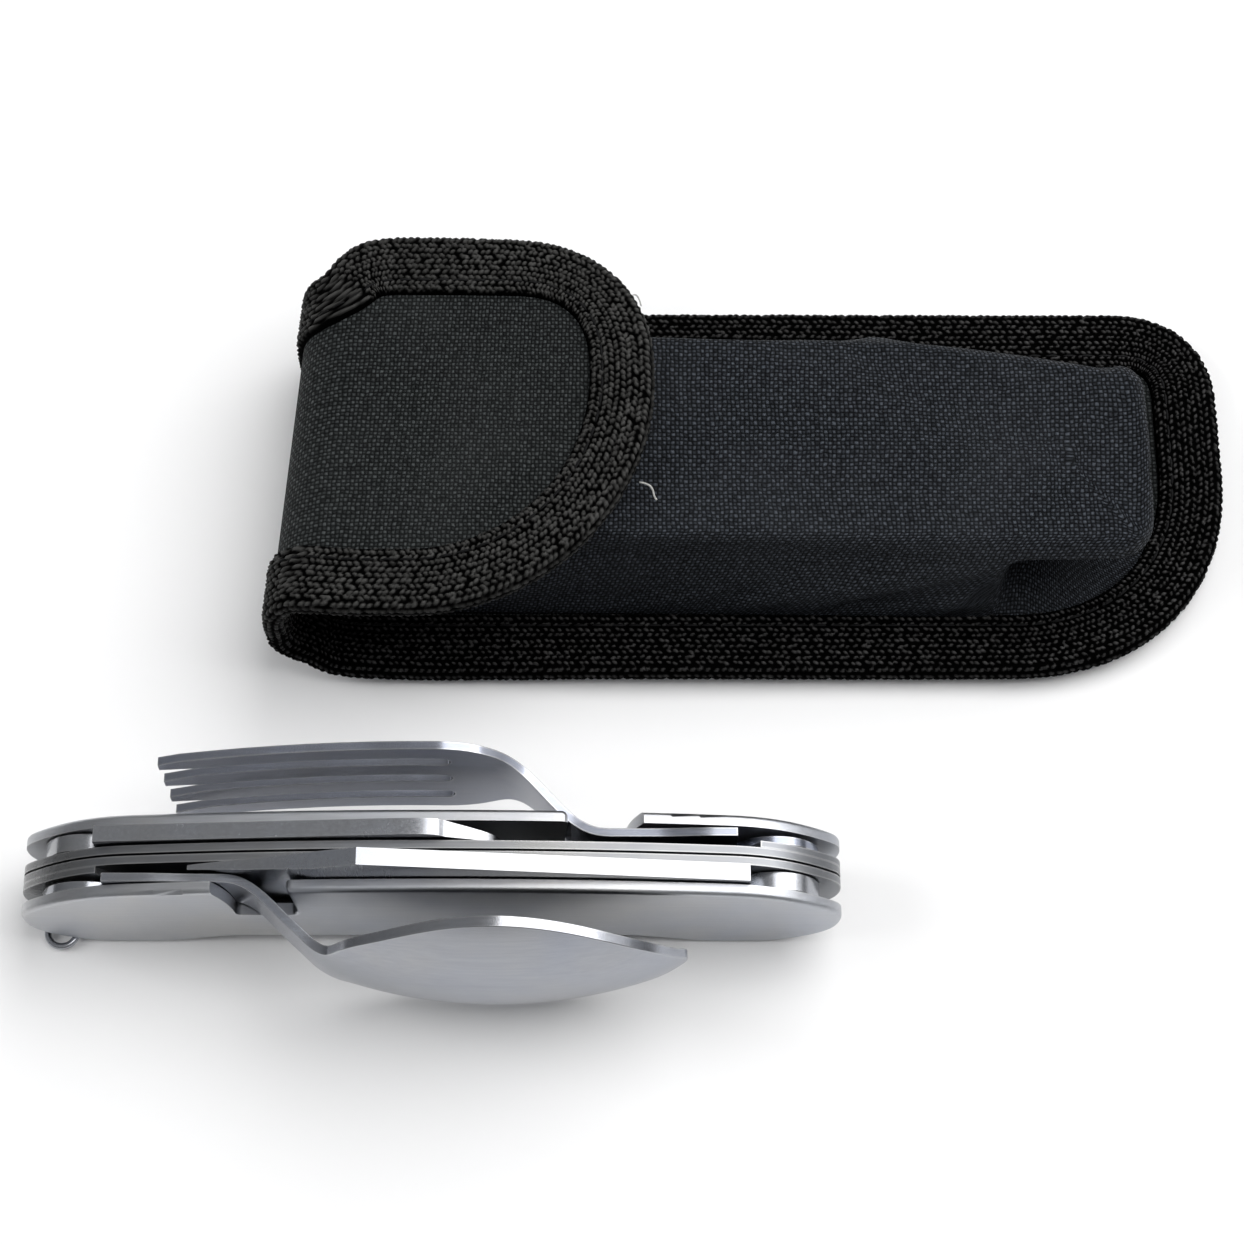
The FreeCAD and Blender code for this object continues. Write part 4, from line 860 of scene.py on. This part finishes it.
def make_pocket():
    """The pocket as one sheet, settled by cloth simulation. The two halves of its top meet at a spine,
    where quads join them."""
    rings, flats = pocket_rings()
    count, around = rings.shape[:2]
    faces = grid_faces(count, around).tolist()
    base = (count - 1) * around
    for i in range(around // 2):
        across = [base + i, base + i + 1, base + around - 2 - i, base + around - 1 - i]
        faces.append(list(dict.fromkeys(across)))
    piece = mesh_piece("pouch_pocket", rings, faces, flats)
    sewn = np.zeros((count, around))
    sewn[:, :SEWN_COLUMNS] = 1
    sewn[:, -SEWN_COLUMNS:] = 1
    sewn[0, :] = 1
    sewn[1, :] = 0.6
    on_top = np.zeros((count, around))
    on_top[WALL_RINGS + EDGE_RINGS + 2:, 6:-6] = 1
    float_attribute(piece, "sewn", sewn)
    float_attribute(piece, "on_top", on_top)
    join_doubles(piece)
    turn_faces_outward(piece)
    pins = np.zeros(len(piece.data.vertices), np.float32)
    piece.data.attributes["sewn"].data.foreach_get("value", pins)
    simulate_cloth(piece, pins, POCKET_PRESSURE, SETTLING_FRAMES, SETTLING_LIMIT)
    tops = np.zeros(len(piece.data.vertices), np.float32)
    piece.data.attributes["on_top"].data.foreach_get("value", tops)
    group = piece.vertex_groups.new(name="on_top")
    group.add([int(i) for i in np.flatnonzero(tops)], 1.0, "REPLACE")
    add_modifier(piece, "SMOOTH", factor=0.5, iterations=14, vertex_group="on_top")
    add_modifier(piece, "SUBSURF", levels=1, render_levels=1)
    add_modifier(piece, "SOLIDIFY", thickness=POCKET_CLOTH, offset=-1.0)
    dress(piece, "pocket")
    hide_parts("pocket")
    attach(piece, "pouch")
    return piece, rings


pocket, pocket_shape = make_pocket()


# ---- Folded tape round the pocket's mouth ----
HEM_WIDTH = 6.0 * MM
HEM_HALF = 0.45 * MM
HEM_RELIEF = 0.25 * MM


def make_hem(rings):
    """Tape folded over the pocket's open edge, carried along that edge from foot to foot."""
    path = np.concatenate([rings[:, 0], rings[::-1, -1]])
    length = length_along(path)
    even = np.linspace(0, length[-1], int(length[-1] / (2 * TAPE_STEP)))
    path = smoothed(at_lengths(even, length, path), np.hanning(11)[1:-1] / np.hanning(11).sum())
    run = np.gradient(path, axis=0)
    out = unit(np.stack([0 * run[:, 0], -run[:, 2], run[:, 1]], -1))
    if out[len(out) // 2, 2] < 0:
        out = -out
    width = np.arange(HEM_WIDTH, 0, -0.4 * MM)
    turn = np.linspace(0, math.pi, 9)
    thick = HEM_HALF + POCKET_CLOTH / 2
    along = np.concatenate([[HEM_WIDTH], width, -thick * 0.7 * np.sin(turn), width[::-1], [HEM_WIDTH]])
    level = np.concatenate([[POCKET_CLOTH / 2], np.full(len(width), thick), thick * np.cos(turn),
                            np.full(len(width), -thick), [-POCKET_CLOTH / 2]])
    across = np.concatenate([[0], np.cumsum(np.hypot(np.diff(along), np.diff(level)))])
    u = np.repeat(even[:, None], len(across), 1)
    v = np.repeat(across[None, :], len(even), 0)
    relief = tape_relief(u, v, across[len(across) // 2])
    grow = 1 + HEM_RELIEF * relief / thick
    high = (level[None, :] * grow) - POCKET_CLOTH / 2
    points = path[:, None, :] + out[:, None, :] * high[:, :, None]
    points[:, :, 0] = path[:, 0][:, None] + along[None, :]
    points[:, :, 2] = np.maximum(points[:, :, 2], POCKET_FOOT)
    piece = swept_piece("pouch_mouth_tape", points, np.stack([u, v], -1))
    float_attribute(piece, "relief", relief)
    turn_faces_outward(piece)
    dress(piece, "tape")
    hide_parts("pocket_hem")
    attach(piece, "pouch")


make_hem(pocket_shape)


# ---- Fastening patches under the flap ----
def rounded_plan(low, high, corner, inset, steps=5):
    """Outline of a rectangle with small round corners."""
    points = []
    for cx, cy, start in ((high.x - corner, high.y - corner, 0), (low.x + corner, high.y - corner, 90),
                          (low.x + corner, low.y + corner, 180), (high.x - corner, low.y + corner, 270)):
        for angle in np.radians(start + np.linspace(0, 90, steps)):
            reach = corner - inset
            points.append((cx + reach * math.cos(angle), cy + reach * math.sin(angle)))
    return np.array(points)


def patch_base(name, low, high, place):
    """A thin pad with rounded edges, built up from its sewn face to its outer face."""
    rings = [rounded_plan(low, high, PATCH_CORNER, inset) for inset in PATCH_INSETS]
    points = np.array([place(ring[:, 0], ring[:, 1], height) for ring, height in zip(rings, PATCH_HEIGHTS)])
    return swept_piece(name, points, np.array(rings))


def bristles(name, low, high, pitch, place, shape, radius, seed):
    """Many small curved threads; shape gives (sideways, height) points of one thread."""
    random = np.random.default_rng(seed)
    border = 0.8 * MM
    columns = np.arange(low.x + border, high.x - border, pitch)
    lines = np.arange(low.y + border, high.y - border, pitch)
    x, y = [grid.ravel() for grid in np.meshgrid(columns, lines)]
    x = x + random.uniform(-0.3, 0.3, len(x)) * pitch
    y = y + random.uniform(-0.3, 0.3, len(y)) * pitch
    turn = random.uniform(0, 2 * math.pi, len(x))
    size = random.uniform(0.8, 1.0, len(x))
    around = np.radians([0, 120, 240])
    rows = len(shape)
    points = np.zeros((len(x), rows, 3, 3))
    for row, (side, height) in enumerate(shape):
        for corner, angle in enumerate(around):
            wide = side * size + radius * math.cos(angle)
            deep = radius * math.sin(angle)
            px = x + wide * np.cos(turn) - deep * np.sin(turn)
            py = y + wide * np.sin(turn) + deep * np.cos(turn)
            points[:, row, corner] = place(px, py, height * size)
    last = rows * 3
    one = grid_faces(rows, 3, close_columns=True).tolist() + [[2, 1, 0], [last - 3, last - 2, last - 1]]
    faces = [[i + base for i in face] for base in range(0, len(x) * rows * 3, rows * 3) for face in one]
    piece = mesh_piece(name, points, faces, np.zeros((len(x) * rows * 3, 2)))
    turn_faces_outward(piece)
    return piece


loop_low, loop_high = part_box("loop_patch")
hook_low, hook_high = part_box("hook_patch")


# The pocket's outer face as it lies after settling, to lay the loop patch on.
settled_pocket = BVHTree.FromObject(pocket, bpy.context.evaluated_depsgraph_get())


def on_pocket(x, y, height):
    """Places points at a height over the pocket's settled cloth."""
    above = POCKET_TOP + 10 * MM
    floor_z = [settled_pocket.ray_cast((a, b, above), (0, 0, -1))[0].z for a, b in zip(x, y)]
    return np.stack([x, y, np.array(floor_z) + height], -1)


def under_flap(x, y, height):
    """Places points at a height over the flap's inner face."""
    return strip_place(x - WALL_X - FOLD_RADIUS + STRAIGHT + ARC, y, CLOTH_HALF + height, FLAP)


PATCH_CORNER = 1.2 * MM
PATCH_INSETS = (0.5 * MM, 0.1 * MM, 0.0, 0.15 * MM, 0.6 * MM)
PATCH_HEIGHTS = (-0.3 * MM, 0.1 * MM, 0.3 * MM, 0.42 * MM, 0.45 * MM)
THREAD_ROOT = 0.35 * MM
LOOP_SHAPE = [(0.38 * MM * math.cos(turn), THREAD_ROOT + 0.55 * MM * math.sin(turn))
              for turn in np.linspace(0, math.pi, 6)]
HOOK_SHAPE = [(0.0, THREAD_ROOT), (0.0, 0.75 * MM), (0.1 * MM, 0.9 * MM), (0.25 * MM, 0.88 * MM),
              (0.3 * MM, 0.74 * MM)]
loop_base = patch_base("pouch_loop_patch", loop_low, loop_high, on_pocket)
hook_base = patch_base("pouch_hook_patch", hook_low, hook_high, under_flap)
loop_pile = bristles("pouch_loop_pile", loop_low, loop_high, 0.62 * MM, on_pocket, LOOP_SHAPE, 0.07 * MM, 5)
hook_pile = bristles("pouch_hook_pile", hook_low, hook_high, 1.0 * MM, under_flap, HOOK_SHAPE, 0.1 * MM, 6)
for patch, finish, body in ((loop_base, "loop", "pouch"), (loop_pile, "loop", "pouch"),
                            (hook_base, "hook", "flap"), (hook_pile, "hook", "flap")):
    turn_faces_outward(patch)
    dress(patch, finish)
    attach(patch, body)
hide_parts("loop_patch")
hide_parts("hook_patch")


# ---- Belt loop: a flat strap under the back panel, sewn at both ends ----
belt_low, belt_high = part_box("belt_loop")
STRAP_HALF = 0.42 * MM
STRAP_RIB = 0.12 * MM
SEWN_LENGTH = 6.0 * MM
SEWN_Z = belt_high.z - STRAP_HALF - 0.02 * MM
RIB_LENGTH = 1.5 * MM
RIB_WIDTH = 0.9 * MM


def make_belt_loop():
    """Ribbed webbing, sewn up against the panel at both ends and hanging a little free between."""
    x = np.arange(belt_low.x, belt_high.x + 0.1 * MM, 0.35 * MM)
    half = belt_high.y - STRAP_HALF
    flat = np.arange(-half, half, 0.45 * MM)
    turn = np.linspace(-math.pi / 2, math.pi / 2, 7)
    edge = half + STRAP_HALF * np.cos(turn)
    y = np.concatenate([flat, edge, flat[::-1], -edge])
    level = np.concatenate([np.full(len(flat), -1.0), np.sin(turn), np.full(len(flat), 1.0), -np.sin(turn)])
    from_end = np.minimum(x - belt_low.x, belt_high.x - x)
    lift = ease(1 - (from_end - SEWN_LENGTH) / (5 * MM))
    loose = 0.1 * MM + STRAP_HALF + STRAP_RIB
    middle = loose + (SEWN_Z - loose) * lift
    column = np.floor(y / RIB_WIDTH)[None, :]
    rib = np.abs(np.sin(math.pi * (x[:, None] / RIB_LENGTH + 0.5 * column)))
    strand = np.abs(np.sin(math.pi * y / RIB_WIDTH))[None, :] ** 0.5
    relief = rib * strand
    high = middle[:, None] + level[None, :] * (STRAP_HALF + STRAP_RIB * (relief - 0.5))
    points = np.stack([x[:, None] + 0 * high, y[None, :] + 0 * high, high], -1)
    piece = swept_piece("pouch_belt_strap", points, np.stack([points[..., 0], points[..., 1]], -1))
    float_attribute(piece, "relief", relief)
    turn_faces_outward(piece)
    dress(piece, "webbing")
    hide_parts("belt_loop")
    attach(piece, "pouch")


def box_stitch_rows(end_x, side):
    """A sewn rectangle with a cross in it, on the strap's outer face."""
    near, far = end_x + side * 1.2 * MM, end_x + side * (SEWN_LENGTH - 0.8 * MM)
    half = belt_high.y - 2 * MM
    corners = [(near, -half), (far, -half), (far, half), (near, half), (near, -half)]
    lines = list(zip(corners, corners[1:])) + [((near, -half), (far, half)), ((near, half), (far, -half))]
    rows = []
    for start, stop in lines:
        plan = np.linspace(start, stop, 30)
        points = np.column_stack([plan, np.full(30, SEWN_Z - STRAP_HALF - 0.5 * STRAP_RIB)])
        rows.append((points, np.tile([0.0, 0.0, -1.0], (30, 1))))
    return rows


make_belt_loop()
belt_rows = box_stitch_rows(belt_low.x, 1) + box_stitch_rows(belt_high.x, -1)
belt_stitches = stitch_mesh("belt_stitches", belt_rows, thickness=0.16 * MM)
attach(belt_stitches, "pouch")


# ---- Loose thread ends at the flap's free edge ----
def thread_end(name, points, radius, body):
    """A short thread along the smooth curve that the points pull on."""
    around = np.linspace(0, 2 * math.pi, 7)[:-1]
    share = np.linspace(0, 1, 16)
    order = len(points) - 1
    weights = [math.comb(order, i) * share**i * (1 - share) ** (order - i) for i in range(order + 1)]
    path = sum(w[:, None] * np.array(point)[None, :] for w, point in zip(weights, points))
    run = unit(np.gradient(path, axis=0))
    side = unit(np.cross(run, (0.3, 0.2, 0.9)))
    up = np.cross(side, run)
    ring = side[:, None, :] * np.cos(around)[None, :, None] + up[:, None, :] * np.sin(around)[None, :, None]
    piece = swept_piece(name, path[:, None, :] + radius * ring, np.zeros((16, 6, 2)))
    turn_faces_outward(piece)
    dress(piece, "thread_end")
    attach(piece, body)


flap_end = Vector((flap_tape_high.x - 0.8 * MM, -9.2 * MM, FLAP_Z - 1.2 * MM))
thread_end("thread_tail", [flap_end + Vector(step) * MM for step in
                           ((-1.0, 0.8, 0), (1.4, 0.4, 0.2), (0.5, -0.8, -0.4), (1.3, -1.5, -0.6))],
           0.14 * MM, "flap")
corner = Vector((flap_tape_high.x - 3.2 * MM, 18.0 * MM, FLAP_Z - 0.8 * MM))
thread_end("thread_loop", [corner + Vector(step) * MM for step in
                           ((-0.8, 0, 0), (0.6, 2.2, 0.3), (1.2, 2.4, 0.2), (1.7, 0.3, -0.4))],
           0.1 * MM, "flap")


# ---- Camera, floor and light ----
low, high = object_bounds()
centre = (low + high) / 2
AIM_SHIFT = Vector((-3.1, 5.9, -14.7)) * MM
CAMERA_ELEVATION = math.radians(66.2)
CAMERA_DISTANCE = 412.7 * MM
CAMERA_LENS = 86.8
CAMERA_SENSOR = 36
aim = (cad_bounds[0] + cad_bounds[1]) / 2 + AIM_SHIFT
camera = bpy.data.objects.new("camera", bpy.data.cameras.new("camera"))
camera.data.sensor_width = CAMERA_SENSOR
camera.data.lens = CAMERA_LENS
camera.data.clip_start = 0.01
back = Vector((0, -math.cos(CAMERA_ELEVATION), math.sin(CAMERA_ELEVATION)))
camera.location = aim + back * CAMERA_DISTANCE
camera.rotation_mode = "QUATERNION"
camera.rotation_quaternion = (-back).to_track_quat("-Z", "Y")
bpy.context.scene.collection.objects.link(camera)
bpy.context.scene.camera = camera


def floor_material():
    material, tree, shader = new_material("pale_floor")
    place = node(tree, "ShaderNodeTexCoord").outputs["Object"]
    shade = blend_colour(tree, noise(tree, place, 3.0, 2.0), (0.86, 0.86, 0.865), (0.9, 0.9, 0.9))
    join(tree, shade, shader.inputs["Base Color"])
    shader.inputs["Roughness"].default_value = 0.9
    shader.inputs["Specular IOR Level"].default_value = 0.1
    return material


floor_half = 4.0
floor = mesh_piece("floor", [(-floor_half, -floor_half, 0), (floor_half, -floor_half, 0),
                             (floor_half, floor_half, 0), (-floor_half, floor_half, 0)], [(0, 1, 2, 3)])
floor.location = (0, 0, -0.0002)
floor.data.materials.append(floor_material())


def softbox(name, place, size, power, colour=(1, 1, 1), aimed=True, mirrored=True):
    """An area light; aimed at the object or straight down, and seen in the steel's reflections or not."""
    light = bpy.data.lights.new(name, "AREA")
    light.shape = "RECTANGLE"
    light.size, light.size_y = size
    light.energy = power
    light.color = colour
    made = bpy.data.objects.new(name, light)
    made.location = place
    if aimed:
        made.rotation_mode = "QUATERNION"
        made.rotation_quaternion = (Vector(place) - centre).to_track_quat("Z", "Y")
    made.visible_glossy = mirrored
    bpy.context.scene.collection.objects.link(made)


softbox("top_light", (0.8, 0.5, 1.1), (1.6, 1.7), 26.0, (1.0, 0.995, 0.99), aimed=False)
softbox("left_light", (-1.2, 0.0, 0.8), (0.8, 0.8), 8.0, mirrored=False)
softbox("right_light", (1.2, 0.4, 0.8), (0.8, 0.8), 2.0)

world = bpy.data.worlds.new("studio")
world.use_nodes = True
tree = world.node_tree
direction = node(tree, "ShaderNodeTexCoord").outputs["Generated"]
up = node(tree, "ShaderNodeSeparateXYZ", {0: direction}).outputs[2]
sky = blend_colour(tree, span(tree, up, -0.1, 0.9, 0.0, 1.0), (0.43, 0.44, 0.46), (0.96, 0.97, 0.985))
join(tree, sky, tree.nodes["Background"].inputs[0])
tree.nodes["Background"].inputs[1].default_value = 0.36
bpy.context.scene.world = world
bpy.context.scene.view_settings.view_transform = "Standard"
